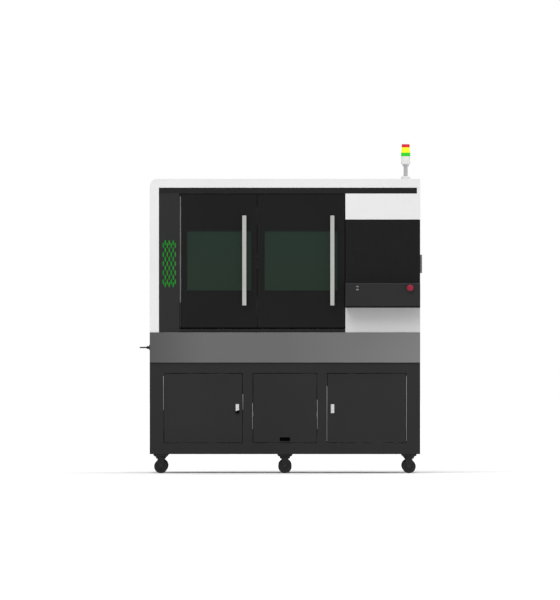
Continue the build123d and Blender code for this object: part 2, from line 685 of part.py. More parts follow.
# Service door: a folded tray that faces +X and turns at its rear edge
panel_y = (service_y[0] + REVEAL, service_y[1] - REVEAL)
panel_z = (service_z[0] + REVEAL, service_z[1] - REVEAL)
with BuildPart() as side_door:
    side_window(panel_y, panel_z, (half - SERVICE_THICK, half), CORNER_RADIUS, Mode.ADD)
    pocket_y = (panel_y[0] + SHEET, panel_y[1] - SHEET)
    pocket_z = (panel_z[0] + SHEET, panel_z[1] - SHEET)
    side_window(pocket_y, pocket_z, (half - SERVICE_THICK, half - SHEET))
    for z in (panel_z[0], panel_z[1] - SHEET):
        pin_hole = (service_pivot[0], service_pivot[1], z)
        round_bar(pin_hole, (0, 0, 1), PIVOT_RADIUS + PIN_CLEARANCE, SHEET, Mode.SUBTRACT)
save(side_door.part, "side_door")

# Pull bar on the service door's free edge
pull_y = (panel_y[0] + PULL_WIDTH, panel_y[0] + 2 * PULL_WIDTH)
pull_z = (PULL_CENTRE_Z - PULL_LENGTH / 2, PULL_CENTRE_Z + PULL_LENGTH / 2)
with BuildPart() as side_handle:
    side_window(pull_y, pull_z, (half, half + PULL_PROUD), CORNER_RADIUS, Mode.ADD)
    grip_z = (pull_z[0] + PULL_PROUD, pull_z[1] - PULL_PROUD)
    block((half, half + PULL_PROUD / 2), pull_y, grip_z, Mode.SUBTRACT)
save(side_handle.part, "side_handle")

# Back wall with a field of vent slots on the control side
with BuildPart() as back_wall:
    wall_y = (shell_back - SHEET, shell_back)
    window((-half + SHEET, half - SHEET), (deck_z, ceiling_z), wall_y, mode=Mode.ADD)
    bend_edge = back_wall.edges().filter_by(Axis.Y).group_by(Axis.X)[0].sort_by(Axis.Z)[-1]
    fillet(bend_edge, SHELL_CORNER - SHEET)
    for step in range(LOUVRE_COUNT):
        vent_z = middle(service_z) + (step - LOUVRE_COUNT / 2) * LOUVRE_PITCH
        vent_centre = middle((control_left, half))
        vent_x = (vent_centre - LOUVRE_WIDTH / 2, vent_centre + LOUVRE_WIDTH / 2)
        window(vent_x, (vent_z, vent_z + LOUVRE_HEIGHT), wall_y, LOUVRE_HEIGHT / 2.5)
save(back_wall.part, "back_wall")

# Folding door: the two hinge lines and the guide pin that keep the leaf ends in line
door_face = shell_front + DOOR_RECESS
door_inside = door_face + DOOR_THICK
leaf_bottom = deck_z + DOOR_BOTTOM
leaf_top = header_bottom - DOOR_TOP_GAP
jamb_x = column_right + BARREL_RADIUS
jamb_y = door_face + BARREL_RADIUS
fold_x = jamb_x + LEAF_SPLIT
fold_y = door_inside + FOLD_BARREL
guide_x = jamb_x + 2 * LEAF_SPLIT
leaf_left_x = (jamb_x + BARREL_RADIUS + LEAF_EDGE_GAP, fold_x - LEAF_GAP / 2)
leaf_right_x = (fold_x + LEAF_GAP / 2, control_left - LEAF_END_GAP)
leaf_z = (leaf_bottom, leaf_top)
guide_slot = GUIDE_PIN_RADIUS + GUIDE_CLEARANCE

# Header: a box track, slotted below for the guide pin, that hangs from the roof
header_x = (column_left, half - HEADER_SIDE)
header_y = (shell_front, shell_front + HEADER_DEPTH)
with BuildPart() as header_track:
    block(header_x, header_y, (header_bottom, header_top))
    channel_y = (header_y[0] + HEADER_WALL, header_y[1] - HEADER_WALL)
    channel_z = (header_bottom + HEADER_WALL, header_top - HEADER_WALL)
    block(header_x, channel_y, channel_z, Mode.SUBTRACT)
    slot_y = (jamb_y - guide_slot, jamb_y + guide_slot)
    block(header_x, slot_y, (header_bottom, channel_z[0]), Mode.SUBTRACT)
    block(header_x, (header_y[1] - HEADER_WALL, header_y[1]), (header_top, ceiling_z))
save(header_track.part, "header_track")

# Sill: a solid bar with a groove for the lower guide pin
sill_z = (deck_z, deck_z + SILL_HEIGHT)
sill_y = (shell_front, shell_front + SILL_DEPTH)
with BuildPart() as sill_track:
    block((column_right, control_left), sill_y, sill_z)
    groove_bottom = sill_z[1] - GUIDE_LENGTH - 2 * GUIDE_CLEARANCE
    groove_y = (jamb_y - guide_slot, jamb_y + guide_slot)
    block((column_right, control_left), groove_y, (groove_bottom, sill_z[1]), Mode.SUBTRACT)
save(sill_track.part, "sill_track")

# Vent column: a folded sheet with staggered slots, pointed at both ends
slot_rows = []
for column in range(SLOT_COLUMNS):
    x = middle((column_left, column_right)) + (column - (SLOT_COLUMNS - 1) / 2) * SLOT_COLUMN_PITCH
    count = 5 if column % 2 == 0 else 6
    for row in range(count):
        rise = (row - (count - 1) / 2) * SLOT_PITCH
        if count == 6 and row in (0, 5):
            rise -= SLOT_END_PULL if row == 5 else -SLOT_END_PULL
        slot_rows.append((x, SLOT_CENTRE_Z + rise))
with BuildPart() as vent_column:
    column_x = (column_left, column_right)
    column_y = (shell_front, shell_front + HEADER_DEPTH)
    column_z = (deck_z, header_bottom)
    block(column_x, column_y, column_z)
    hollow_x = (column_x[0] + SHEET, column_x[1] - SHEET)
    block(hollow_x, (column_y[0] + SHEET, column_y[1]), column_z, Mode.SUBTRACT)
    with BuildSketch(Plane.XZ.offset(-shell_front - SHEET)) as slots:
        with Locations(*slot_rows):
            Polygon(
                (-SLOT_WIDTH / 2, SLOT_LENGTH / 2 - SLOT_WIDTH),
                (0, SLOT_LENGTH / 2),
                (SLOT_WIDTH / 2, SLOT_LENGTH / 2 - SLOT_WIDTH),
                (SLOT_WIDTH / 2, SLOT_WIDTH - SLOT_LENGTH / 2),
                (0, -SLOT_LENGTH / 2),
                (-SLOT_WIDTH / 2, SLOT_WIDTH - SLOT_LENGTH / 2),
                align=None,
            )
    extrude(slots.sketch, amount=SHEET, mode=Mode.SUBTRACT)
save(vent_column.part, "vent_column")

# Lit diffuser behind the slots
with BuildPart() as vent_light:
    light_y = (shell_front + SHEET, shell_front + SHEET + DIFFUSER_THICK)
    light_z = (SLOT_CENTRE_Z - 3 * SLOT_PITCH, SLOT_CENTRE_Z + 3 * SLOT_PITCH)
    light_x = (column_left + SLOT_COLUMN_PITCH, column_right - SLOT_COLUMN_PITCH)
    window(light_x, light_z, light_y, CORNER_RADIUS, Mode.ADD)
save(vent_light.part, "vent_light")

# Partitions on both sides of the cutting chamber
with BuildPart() as partitions:
    rear_y = shell_back - SHEET
    left_wall = (column_right - PARTITION, column_right)
    side_window((header_y[1], rear_y), (deck_z, ceiling_z), left_wall, mode=Mode.ADD)
    right_side = (control_left, control_left + PARTITION)
    side_window((shell_front + PANEL_RETURN, rear_y), (deck_z, header_bottom), right_side, mode=Mode.ADD)
    side_window((header_y[1], rear_y), (header_bottom, ceiling_z), right_side, mode=Mode.ADD)
save(partitions.part, "partitions")

# Control side, from the top: bare head panel, black touch panel, console, lower panel
control_x = (control_left, half)
head_bottom = header_bottom - HEAD_PANEL_HEIGHT
console_top = head_bottom - MONITOR_HEIGHT
console_bottom = console_top - CONSOLE_HEIGHT
console_face = shell_front - CONSOLE_PROUD
with BuildPart() as head_panel:
    tray(control_x, (head_bottom, header_bottom), shell_front, PANEL_RETURN, SHEET)
save(head_panel.part, "head_panel")

with BuildPart() as monitor_panel:
    panel_depth = (shell_front, shell_front + PANEL_RETURN)
    window(control_x, (console_top, head_bottom), panel_depth, CORNER_RADIUS, Mode.ADD)
save(monitor_panel.part, "monitor_panel")

with BuildPart() as lower_panel:
    tray(control_x, (deck_z, console_bottom), shell_front, PANEL_RETURN, SHEET)
save(lower_panel.part, "lower_panel")

# Console: a box that stands proud, its lower edge sloped back, with two pockets and a bore
stop_x = half - STOP_FROM_RIGHT
stop_z = console_top - STOP_FROM_TOP
usb_x = control_left + USB_FROM_LEFT
usb_zs = [console_top - USB_FROM_TOP - step * USB_PITCH for step in range(2)]
with BuildPart() as console:
    with BuildSketch(Plane.YZ.offset(control_left)) as console_side:
        with BuildLine():
            Polyline(
                (shell_front + PANEL_RETURN, console_top),
                (console_face, console_top),
                (console_face, console_bottom),
                (shell_front + PANEL_RETURN, console_bottom),
                close=True,
            )
        make_face()
        fillet(console_side.vertices().sort_by(Axis.X)[:2], CONSOLE_ROUND)
    extrude(console_side.sketch, amount=CONTROL_WIDTH)
    for z in usb_zs:
        pocket_x = (usb_x - USB_WIDTH / 2 - FIT_GAP, usb_x + USB_WIDTH / 2 + FIT_GAP)
        pocket_z = (z - USB_HEIGHT / 2 - FIT_GAP, z + USB_HEIGHT / 2 + FIT_GAP)
        window(pocket_x, pocket_z, (console_face, console_face + USB_WIDTH))
    round_bar((stop_x, console_face - STOP_COLLAR / 8, stop_z), (0, 1, 0), STOP_COLLAR, STOP_COLLAR / 8)
    bore_start = (stop_x, console_face - STOP_COLLAR / 8, stop_z)
    round_bar(bore_start, (0, 1, 0), STOP_STEM + PIN_CLEARANCE, 2 * STOP_RADIUS, Mode.SUBTRACT)
save(console.part, "console")

# Ports: two shells with an open mouth
with BuildPart() as usb_ports:
    for z in usb_zs:
        shell_x = (usb_x - USB_WIDTH / 2, usb_x + USB_WIDTH / 2)
        shell_z = (z - USB_HEIGHT / 2, z + USB_HEIGHT / 2)
        window(shell_x, shell_z, (console_face, console_face + USB_WIDTH), mode=Mode.ADD)
        mouth_x = (shell_x[0] + FIT_GAP * 2, shell_x[1] - FIT_GAP * 2)
        mouth_z = (z - FIT_GAP * 2, shell_z[1] - FIT_GAP * 2)
        window(mouth_x, mouth_z, (console_face, console_face + USB_WIDTH / 2))
save(usb_ports.part, "usb_ports")

# Emergency stop: a mushroom head on a stem that runs in the console's bore
with BuildPart() as estop_button:
    head_back = console_face - STOP_COLLAR / 8 - STOP_TRAVEL - FIT_GAP
    with BuildSketch(Plane.YZ.offset(stop_x)) as mushroom:
        with BuildLine():
            Polyline(
                (head_back + STOP_RADIUS, stop_z),
                (head_back + STOP_RADIUS, stop_z + STOP_STEM),
                (head_back, stop_z + STOP_STEM),
                (head_back, stop_z + STOP_RADIUS * 0.85),
                (head_back - STOP_HEAD * 0.2, stop_z + STOP_RADIUS),
                (head_back - STOP_HEAD * 0.6, stop_z + STOP_RADIUS),
                (head_back - STOP_HEAD * 0.9, stop_z + STOP_RADIUS * 0.75),
                (head_back - STOP_HEAD, stop_z + STOP_RADIUS * 0.4),
                (head_back - STOP_HEAD, stop_z),
                close=True,
            )
        make_face()
    stop_axis = Axis((stop_x, head_back, stop_z), (0, 1, 0))
    revolve(mushroom.sketch, axis=stop_axis)
save(estop_button.part, "estop_button")


# Door leaves: folded trays with a window, each with its glass, handle and hinge halves
def door_leaf(x, glass_x):
    """One leaf: a tray with a wide opening for its glass."""
    tray(x, leaf_z, door_face, DOOR_THICK, DOOR_SKIN)
    window(glass_x, glass_z, (door_face, door_face + DOOR_SKIN), CORNER_RADIUS)


def glass_pane(glass_x):
    """A pane behind the skin, lapped all round the opening."""
    pane_x = (glass_x[0] - GLASS_LAP, glass_x[1] + GLASS_LAP)
    pane_z = (glass_z[0] - GLASS_LAP, glass_z[1] + GLASS_LAP)
    pane_y = (door_face + DOOR_SKIN, door_face + DOOR_SKIN + GLASS_THICK)
    window(pane_x, pane_z, pane_y, CORNER_RADIUS, Mode.ADD)


def door_handle(x):
    """A flat bar on two round posts."""
    bar_x = (x - HANDLE_WIDTH / 2, x + HANDLE_WIDTH / 2)
    bar_y = (door_face - HANDLE_PROUD, door_face - HANDLE_PROUD + HANDLE_BAR)
    window(bar_x, handle_z, bar_y, HANDLE_BAR / 4, Mode.ADD)
    for z in (handle_z[0] + HANDLE_WIDTH * 2, handle_z[1] - HANDLE_WIDTH * 2):
        round_bar((x, bar_y[1], z), (0, 1, 0), HANDLE_BAR / 2, door_face - bar_y[1])


glass_left = (leaf_left_x[0] + WINDOW_SIDE_LEFT, leaf_left_x[1] - WINDOW_SIDE_LEFT)
glass_right = (leaf_right_x[0] + WINDOW_SIDE_RIGHT, leaf_right_x[1] - WINDOW_SIDE_RIGHT)
glass_z = (leaf_bottom + WINDOW_BOTTOM, leaf_bottom + WINDOW_BOTTOM + WINDOW_HEIGHT)
handle_z = (leaf_bottom + HANDLE_BOTTOM, leaf_bottom + HANDLE_BOTTOM + HANDLE_LENGTH)

with BuildPart() as door_leaf_left:
    door_leaf(leaf_left_x, glass_left)
save(door_leaf_left.part, "door_leaf_left")

with BuildPart() as window_left:
    glass_pane(glass_left)
save(window_left.part, "window_left")

with BuildPart() as handle_left:
    door_handle(leaf_left_x[1] - HANDLE_LEFT_FROM_SPLIT)
save(handle_left.part, "handle_left")

with BuildPart() as door_leaf_right:
    door_leaf(leaf_right_x, glass_right)
    pin_top = leaf_top + DOOR_TOP_GAP + GUIDE_LENGTH
    pin_foot = leaf_bottom - (DOOR_BOTTOM - SILL_HEIGHT) - GUIDE_LENGTH
    boss = GUIDE_PIN_RADIUS * 2
    round_bar((guide_x, jamb_y, leaf_top - boss), (0, 0, 1), GUIDE_PIN_RADIUS, pin_top - leaf_top + boss)
    round_bar((guide_x, jamb_y, pin_foot), (0, 0, 1), GUIDE_PIN_RADIUS, leaf_bottom - pin_foot + boss)
save(door_leaf_right.part, "door_leaf_right")

with BuildPart() as window_right:
    glass_pane(glass_right)
save(window_right.part, "window_right")

with BuildPart() as handle_right:
    door_handle(leaf_right_x[1] - HANDLE_RIGHT_FROM_END)
save(handle_right.part, "handle_right")

# Jamb hinge: knuckles of a long hinge in turn on the column and on the left leaf
hinge_top = leaf_top - HINGE_FROM_TOP
knuckle_pitch = HINGE_LENGTH / KNUCKLES
knuckle_starts = [hinge_top - HINGE_LENGTH + step * knuckle_pitch for step in range(KNUCKLES)]
plate_y = (jamb_y + BARREL_RADIUS + FIT_GAP, jamb_y + HINGE_LEAF_DEPTH)
jamb_plate = (jamb_x - BARREL_RADIUS, jamb_x - BARREL_RADIUS + HINGE_LEAF)
leaf_plate = (leaf_left_x[0] - HINGE_LEAF, leaf_left_x[0])
with BuildPart() as jamb_hinge:
    block(jamb_plate, plate_y, (hinge_top - HINGE_LENGTH, hinge_top))
    for start in knuckle_starts[::2]:
        knuckle_z = (start, start + knuckle_pitch - FIT_GAP)
        round_bar((jamb_x, jamb_y, knuckle_z[0]), (0, 0, 1), BARREL_RADIUS, knuckle_z[1] - knuckle_z[0])
        block(jamb_plate, (jamb_y, plate_y[0]), knuckle_z)
    round_bar((jamb_x, jamb_y, knuckle_starts[0]), (0, 0, 1), HINGE_PIN_RADIUS, HINGE_LENGTH)
save(jamb_hinge.part, "jamb_hinge")

# Fold hinges: short butt hinges behind the joint between the leaves
fold_pitch = (leaf_top - leaf_bottom) / FOLD_COUNT
fold_zs = [leaf_bottom + fold_pitch * (step + 0.5) for step in range(FOLD_COUNT)]
fold_length = 3 * FOLD_KNUCKLE
fold_plate_y = (door_inside, door_inside + HINGE_LEAF)
with BuildPart() as left_leaf_hinges:
    block(leaf_plate, plate_y, (hinge_top - HINGE_LENGTH, hinge_top))
    for start in knuckle_starts[1::2]:
        knuckle_z = (start, start + knuckle_pitch - FIT_GAP)
        length = knuckle_z[1] - knuckle_z[0]
        block((jamb_x, leaf_plate[1]), (jamb_y, jamb_y + HINGE_LEAF), knuckle_z)
        block(leaf_plate, (jamb_y, plate_y[0]), knuckle_z)
        round_bar((jamb_x, jamb_y, knuckle_z[0]), (0, 0, 1), BARREL_RADIUS, length)
        bore = HINGE_PIN_RADIUS + PIN_CLEARANCE
        round_bar((jamb_x, jamb_y, knuckle_z[0]), (0, 0, 1), bore, length, Mode.SUBTRACT)
    for centre in fold_zs:
        low = centre - fold_length / 2
        plate_x = (fold_x - FOLD_PLATE, fold_x - FOLD_BARREL - FIT_GAP)
        block(plate_x, fold_plate_y, (low, low + fold_length))
        for start in (low, low + 2 * FOLD_KNUCKLE + FIT_GAP):
            length = FOLD_KNUCKLE - FIT_GAP
            block((plate_x[0], fold_x), fold_plate_y, (start, start + length))
            round_bar((fold_x, fold_y, start), (0, 0, 1), FOLD_BARREL, length)
        round_bar((fold_x, fold_y, low), (0, 0, 1), HINGE_PIN_RADIUS, fold_length)
save(left_leaf_hinges.part, "left_leaf_hinges")

with BuildPart() as right_leaf_hinges:
    for centre in fold_zs:
        low = centre - fold_length / 2
        start = low + FOLD_KNUCKLE
        length = FOLD_KNUCKLE
        plate_x = (fold_x + FOLD_BARREL + FIT_GAP, fold_x + FOLD_PLATE)
        block(plate_x, fold_plate_y, (low, low + fold_length))
        block((fold_x, plate_x[1]), fold_plate_y, (start, start + length))
        round_bar((fold_x, fold_y, start), (0, 0, 1), FOLD_BARREL, length)
        bore = HINGE_PIN_RADIUS + PIN_CLEARANCE
        round_bar((fold_x, fold_y, start), (0, 0, 1), bore, length, Mode.SUBTRACT)
save(right_leaf_hinges.part, "right_leaf_hinges")

# Signal tower: a turned foot and pole, a housing and three lenses
tower_levels = [roof_z + TOWER_FLANGE]
for rise in (TOWER_POLE, TOWER_COLLAR, TOWER_BODY, *LENS_HEIGHTS):
    tower_levels.append(tower_levels[-1] + rise)
with BuildPart() as tower_base:
    round_bar((TOWER_X, TOWER_Y, roof_z), (0, 0, 1), TOWER_FLANGE_RADIUS, TOWER_FLANGE)
    chamfer(tower_base.edges().sort_by(Axis.Z)[-1], TOWER_FLANGE / 3)
    round_bar((TOWER_X, TOWER_Y, tower_levels[0]), (0, 0, 1), TOWER_POLE_RADIUS, TOWER_POLE)
    round_bar((TOWER_X, TOWER_Y, tower_levels[1]), (0, 0, 1), TOWER_COLLAR_RADIUS, TOWER_COLLAR)
save(tower_base.part, "tower_base")

with BuildPart() as tower_housing:
    round_bar((TOWER_X, TOWER_Y, tower_levels[2]), (0, 0, 1), TOWER_BODY_RADIUS, TOWER_BODY)
    chamfer(tower_housing.edges().sort_by(Axis.Z)[0], SHEET * 2)
save(tower_housing.part, "tower_housing")

for step, colour in enumerate(("green", "yellow", "red")):
    low, high = tower_levels[3 + step], tower_levels[4 + step]
    lens_radius = LENS_RADII[step]
    rim = SHEET if colour == "red" else 0.0
    with BuildPart() as lens:
        lens_plane = Plane(origin=(TOWER_X, TOWER_Y, 0), x_dir=(1, 0, 0), z_dir=(0, -1, 0))
        with BuildSketch(lens_plane) as lens_side:
            with BuildLine():
                Polyline(
                    (0, low),
                    (lens_radius, low),
                    (lens_radius - LENS_TAPER, high - SHEET),
                    (lens_radius - LENS_TAPER - rim, high),
                    (0, high),
                    close=True,
                )
            make_face()
        revolve(lens_side.sketch, axis=Axis((TOWER_X, TOWER_Y, 0), (0, 0, 1)))
    save(lens.part, f"tower_lens_{colour}")

# Gas inlet on the left: a wall plate, a hexagon nut and a short hose tail
with BuildPart() as gas_inlet:
    foot_x = (-half - GAS_FOOT[0], -half)
    foot_y = (GAS_Y - GAS_FOOT[1] / 2, GAS_Y + GAS_FOOT[1] / 2)
    foot_z = (GAS_Z - GAS_FOOT[2] / 2, GAS_Z + GAS_FOOT[2] / 2)
    side_window(foot_y, foot_z, foot_x, CORNER_RADIUS, Mode.ADD)
    with BuildSketch(Plane(origin=(foot_x[0], GAS_Y, GAS_Z), z_dir=(-1, 0, 0))) as nut:
        RegularPolygon(GAS_NUT_RADIUS, 6)
    extrude(nut.sketch, amount=GAS_NUT_LENGTH)
    tail_x = foot_x[0] - GAS_NUT_LENGTH
    round_bar((tail_x, GAS_Y, GAS_Z), (-1, 0, 0), GAS_TAIL_RADIUS, GAS_TAIL_LENGTH)
    round_bar((tail_x, GAS_Y, GAS_Z), (-1, 0, 0), GAS_TAIL_RADIUS / 2, GAS_TAIL_LENGTH, Mode.SUBTRACT)
save(gas_inlet.part, "gas_inlet")

# Exhaust spigot: a flanged tube through the back of the base
with BuildPart() as exhaust_spigot:
    round_bar((0, base_back, EXHAUST_Z), (0, 1, 0), EXHAUST_RADIUS + TUBE / 2, SHEET)
    duct_start = (0, base_back - SHEET, EXHAUST_Z)
    round_bar(duct_start, (0, 1, 0), EXHAUST_RADIUS, EXHAUST_LENGTH + SHEET)
    round_bar(duct_start, (0, 1, 0), EXHAUST_RADIUS - SHEET, EXHAUST_LENGTH + SHEET, Mode.SUBTRACT)
save(exhaust_spigot.part, "exhaust_spigot")

# Linear rails along the bed, waisted like a rolled rail
rail_xs = (hole_x[0] - RAIL_BEAM_WIDTH / 2, hole_x[1] + RAIL_BEAM_WIDTH / 2)
rail_top = deck_z + RAIL_HEIGHT
with BuildPart() as y_rails:
    for x in rail_xs:
        with BuildSketch(Plane.XZ.offset(-RAIL_LENGTH / 2)) as rail_section:
            with BuildLine():
                Polyline(
                    (x - RAIL_WIDTH / 2, deck_z),
                    (x - RAIL_WIDTH / 2, deck_z + RAIL_HEIGHT / 3),
                    (x - RAIL_WIDTH / 2 + RAIL_WAIST, deck_z + RAIL_HEIGHT / 2),
                    (x - RAIL_WIDTH / 2, deck_z + RAIL_HEIGHT * 2 / 3),
                    (x - RAIL_WIDTH / 2, rail_top),
                    (x + RAIL_WIDTH / 2, rail_top),
                    (x + RAIL_WIDTH / 2, deck_z + RAIL_HEIGHT * 2 / 3),
                    (x + RAIL_WIDTH / 2 - RAIL_WAIST, deck_z + RAIL_HEIGHT / 2),
                    (x + RAIL_WIDTH / 2, deck_z + RAIL_HEIGHT / 3),
                    (x + RAIL_WIDTH / 2, deck_z),
                    close=True,
                )
            make_face()
        extrude(rail_section.sketch, amount=RAIL_LENGTH)
save(y_rails.part, "y_rails")

# Gantry: a hollow beam with two ridges in front and a saddle over each rail
gantry_y = RAIL_LENGTH / 2 - CARRIAGE_LENGTH / 2 - REST_FROM_END
beam_y = (gantry_y - BEAM_DEPTH / 2, gantry_y + BEAM_DEPTH / 2)
beam_z = (deck_z + CARRIAGE_HEIGHT, deck_z + CARRIAGE_HEIGHT + BEAM_HEIGHT)
beam_x = (rail_xs[0] - CARRIAGE_WIDTH / 2, rail_xs[1] + CARRIAGE_WIDTH / 2)
ridge_zs = (beam_z[0] + RIDGE_FROM_EDGE, beam_z[1] - RIDGE_FROM_EDGE)
ridge_y = (beam_y[0] - RIDGE_PROUD, beam_y[0])
with BuildPart() as gantry_beam:
    side_window(beam_y, beam_z, beam_x, BEAM_WALL / 2, Mode.ADD)
    hollow_y = (beam_y[0] + BEAM_WALL, beam_y[1] - BEAM_WALL)
    hollow_z = (beam_z[0] + BEAM_WALL, beam_z[1] - BEAM_WALL)
    side_window(hollow_y, hollow_z, beam_x)
    for z in ridge_zs:
        ridge_z = (z - RIDGE_WIDTH / 2, z + RIDGE_WIDTH / 2)
        block((rail_xs[0] + CARRIAGE_WIDTH / 2, rail_xs[1] - CARRIAGE_WIDTH / 2), ridge_y, ridge_z)
    for x in rail_xs:
        saddle_x = (x - CARRIAGE_WIDTH / 2, x + CARRIAGE_WIDTH / 2)
        saddle_y = (gantry_y - CARRIAGE_LENGTH / 2, gantry_y + CARRIAGE_LENGTH / 2)
        block(saddle_x, saddle_y, (deck_z + RAIL_HEIGHT / 3, beam_z[0]))
        groove_x = (x - RAIL_WIDTH / 2 - FIT_GAP, x + RAIL_WIDTH / 2 + FIT_GAP)
        block(groove_x, saddle_y, (deck_z + RAIL_HEIGHT / 3, rail_top + FIT_GAP), Mode.SUBTRACT)
save(gantry_beam.part, "gantry_beam")

# Head carriage: a plate on four grooved blocks that run on the ridges
head_x = hole_x[0] + HEAD_REST_X
plate_back = ridge_y[0] - HEAD_STANDOFF
plate_front = plate_back - HEAD_PLATE[1]
plate_bottom = beam_z[0] - REST_FROM_END
with BuildPart() as head_carriage:
    carriage_x = (head_x - HEAD_PLATE[0] / 2, head_x + HEAD_PLATE[0] / 2)
    carriage_z = (plate_bottom, plate_bottom + HEAD_PLATE[2])
    window(carriage_x, carriage_z, (plate_front, plate_back), CORNER_RADIUS, Mode.ADD)
    for z in ridge_zs:
        block(carriage_x, (plate_back, beam_y[0] - HEAD_STANDOFF), (z - RIDGE_WIDTH, z + RIDGE_WIDTH))
        groove_z = (z - RIDGE_WIDTH / 2 - FIT_GAP, z + RIDGE_WIDTH / 2 + FIT_GAP)
        block(carriage_x, (ridge_y[0] - FIT_GAP, beam_y[0] - HEAD_STANDOFF), groove_z, Mode.SUBTRACT)
save(head_carriage.part, "head_carriage")

# Cutting head: a lift plate, a turned body and its nozzle
nozzle_tip_z = slat_top + NOZZLE_OVER_SLATS
body_z = nozzle_tip_z + NOZZLE_LENGTH
lift_y = (plate_front - FIT_GAP - LIFT_PLATE[1], plate_front - FIT_GAP)
head_y = lift_y[0] - HEAD_RADIUS
with BuildPart() as cutting_head:
    head_plane = Plane(origin=(head_x, head_y, 0), x_dir=(1, 0, 0), z_dir=(0, -1, 0))
    with BuildSketch(head_plane) as head_profile:
        with BuildLine():
            Polyline(
                (0, nozzle_tip_z),
                (NOZZLE_TIP, nozzle_tip_z),
                (NOZZLE_RADIUS, nozzle_tip_z + NOZZLE_LENGTH / 2),
                (NOZZLE_RADIUS, body_z),
                (HEAD_RADIUS * 0.7, body_z),
                (HEAD_RADIUS, body_z + HEAD_LENGTH / 6),
                (HEAD_RADIUS, body_z + HEAD_LENGTH * 0.7),
                (HEAD_RADIUS * 0.6, body_z + HEAD_LENGTH * 0.8),
                (HEAD_RADIUS * 0.6, body_z + HEAD_LENGTH),
                (0, body_z + HEAD_LENGTH),
                close=True,
            )
        make_face()
    revolve(head_profile.sketch, axis=Axis((head_x, head_y, 0), (0, 0, 1)))
    lift_x = (head_x - LIFT_PLATE[0] / 2, head_x + LIFT_PLATE[0] / 2)
    lift_z = (body_z, body_z + LIFT_PLATE[2])
    window(lift_x, lift_z, lift_y, CORNER_RADIUS, Mode.ADD)
    mount_x = (head_x - HEAD_RADIUS / 2, head_x + HEAD_RADIUS / 2)
    block(mount_x, (head_y, lift_y[0]), (lift_z[0] + HEAD_LENGTH / 6, lift_z[0] + HEAD_LENGTH / 2))
save(cutting_head.part, "cutting_head")

# Casters: bracket with plate, bearing race and a fork whose legs narrow to the axle
axle_z = WHEEL_RADIUS
race_bottom = base_z - PLATE_THICK - RACE_HEIGHT
crown_bottom = race_bottom - FORK_PLATE
fork_inner = WHEEL_WIDTH / 2 + FORK_GAP
fork_outer = fork_inner + FORK_PLATE
caster_xs = (-half + CASTER_INSET_X, 0, half - CASTER_INSET_X)
caster_ys = (front + CASTER_INSET_Y, back - CASTER_INSET_Y)
with BuildPart() as caster_brackets:
    for x in caster_xs:
        for y in caster_ys:
            plate_x = (x - PLATE_SIZE / 2, x + PLATE_SIZE / 2)
            block(plate_x, (y - PLATE_SIZE / 2, y + PLATE_SIZE / 2), (base_z - PLATE_THICK, base_z))
            with Locations((x, y, race_bottom + RACE_HEIGHT / 2)):
                Cone(RACE_FOOT_RADIUS, RACE_TOP_RADIUS, RACE_HEIGHT)
            crown_x = (x - FORK_TOP_WIDTH / 2, x + FORK_TOP_WIDTH / 2)
            block(crown_x, (y - fork_outer, y + fork_outer), (crown_bottom, race_bottom))
            for leg_y in (y - fork_inner, y + fork_outer):
                with BuildSketch(Plane.XZ.offset(-leg_y)) as leg:
                    with BuildLine():
                        Polyline(
                            (x - FORK_TOP_WIDTH / 2, crown_bottom),
                            (x + FORK_TOP_WIDTH / 2, crown_bottom),
                            (x + FORK_END_RADIUS, axle_z),
                            (x - FORK_END_RADIUS, axle_z),
                            close=True,
                        )
                    make_face()
                    with Locations((x, axle_z)):
                        Circle(FORK_END_RADIUS)
                extrude(leg.sketch, amount=FORK_PLATE)
            axle_start = (x, y - fork_outer, axle_z)
            round_bar(axle_start, (0, 1, 0), WHEEL_BORE - PIN_CLEARANCE, 2 * fork_outer)
            for head_y in (y - fork_outer, y + fork_outer + AXLE_HEAD):
                with BuildSketch(Plane.XZ.offset(-head_y)) as axle_head:
                    with Locations((x, axle_z)):
                        RegularPolygon(AXLE_HEAD_RADIUS, 6)
                extrude(axle_head.sketch, amount=AXLE_HEAD)
save(caster_brackets.part, "caster_brackets")

# Caster wheels: a rounded tread, a dished side and a hub boss, turned in one piece
for column, x in zip(("left", "middle", "right"), caster_xs):
    for row, y in zip(("front", "rear"), caster_ys):
        with BuildPart() as caster_wheel:
            with BuildSketch(Plane.YZ.offset(x)) as wheel_section:
                with Locations((y, axle_z + (WHEEL_BORE + WHEEL_RADIUS) / 2)):
                    Rectangle(WHEEL_WIDTH, WHEEL_RADIUS - WHEEL_BORE)
                chamfer(wheel_section.vertices().group_by(Axis.Y)[-1], TREAD_ROUND)
                dish_z = axle_z + (BOSS_RADIUS + HUB_RADIUS) / 2
                with Locations((y - WHEEL_WIDTH / 2, dish_z), (y + WHEEL_WIDTH / 2, dish_z)):
                    Rectangle(2 * HUB_RECESS, HUB_RADIUS - BOSS_RADIUS, mode=Mode.SUBTRACT)
            revolve(wheel_section.sketch, axis=Axis((x, y, axle_z), (0, 1, 0)))
        save(caster_wheel.part, f"caster_wheel_{row}_{column}")
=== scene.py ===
import json
from math import cos, pi, radians, sin

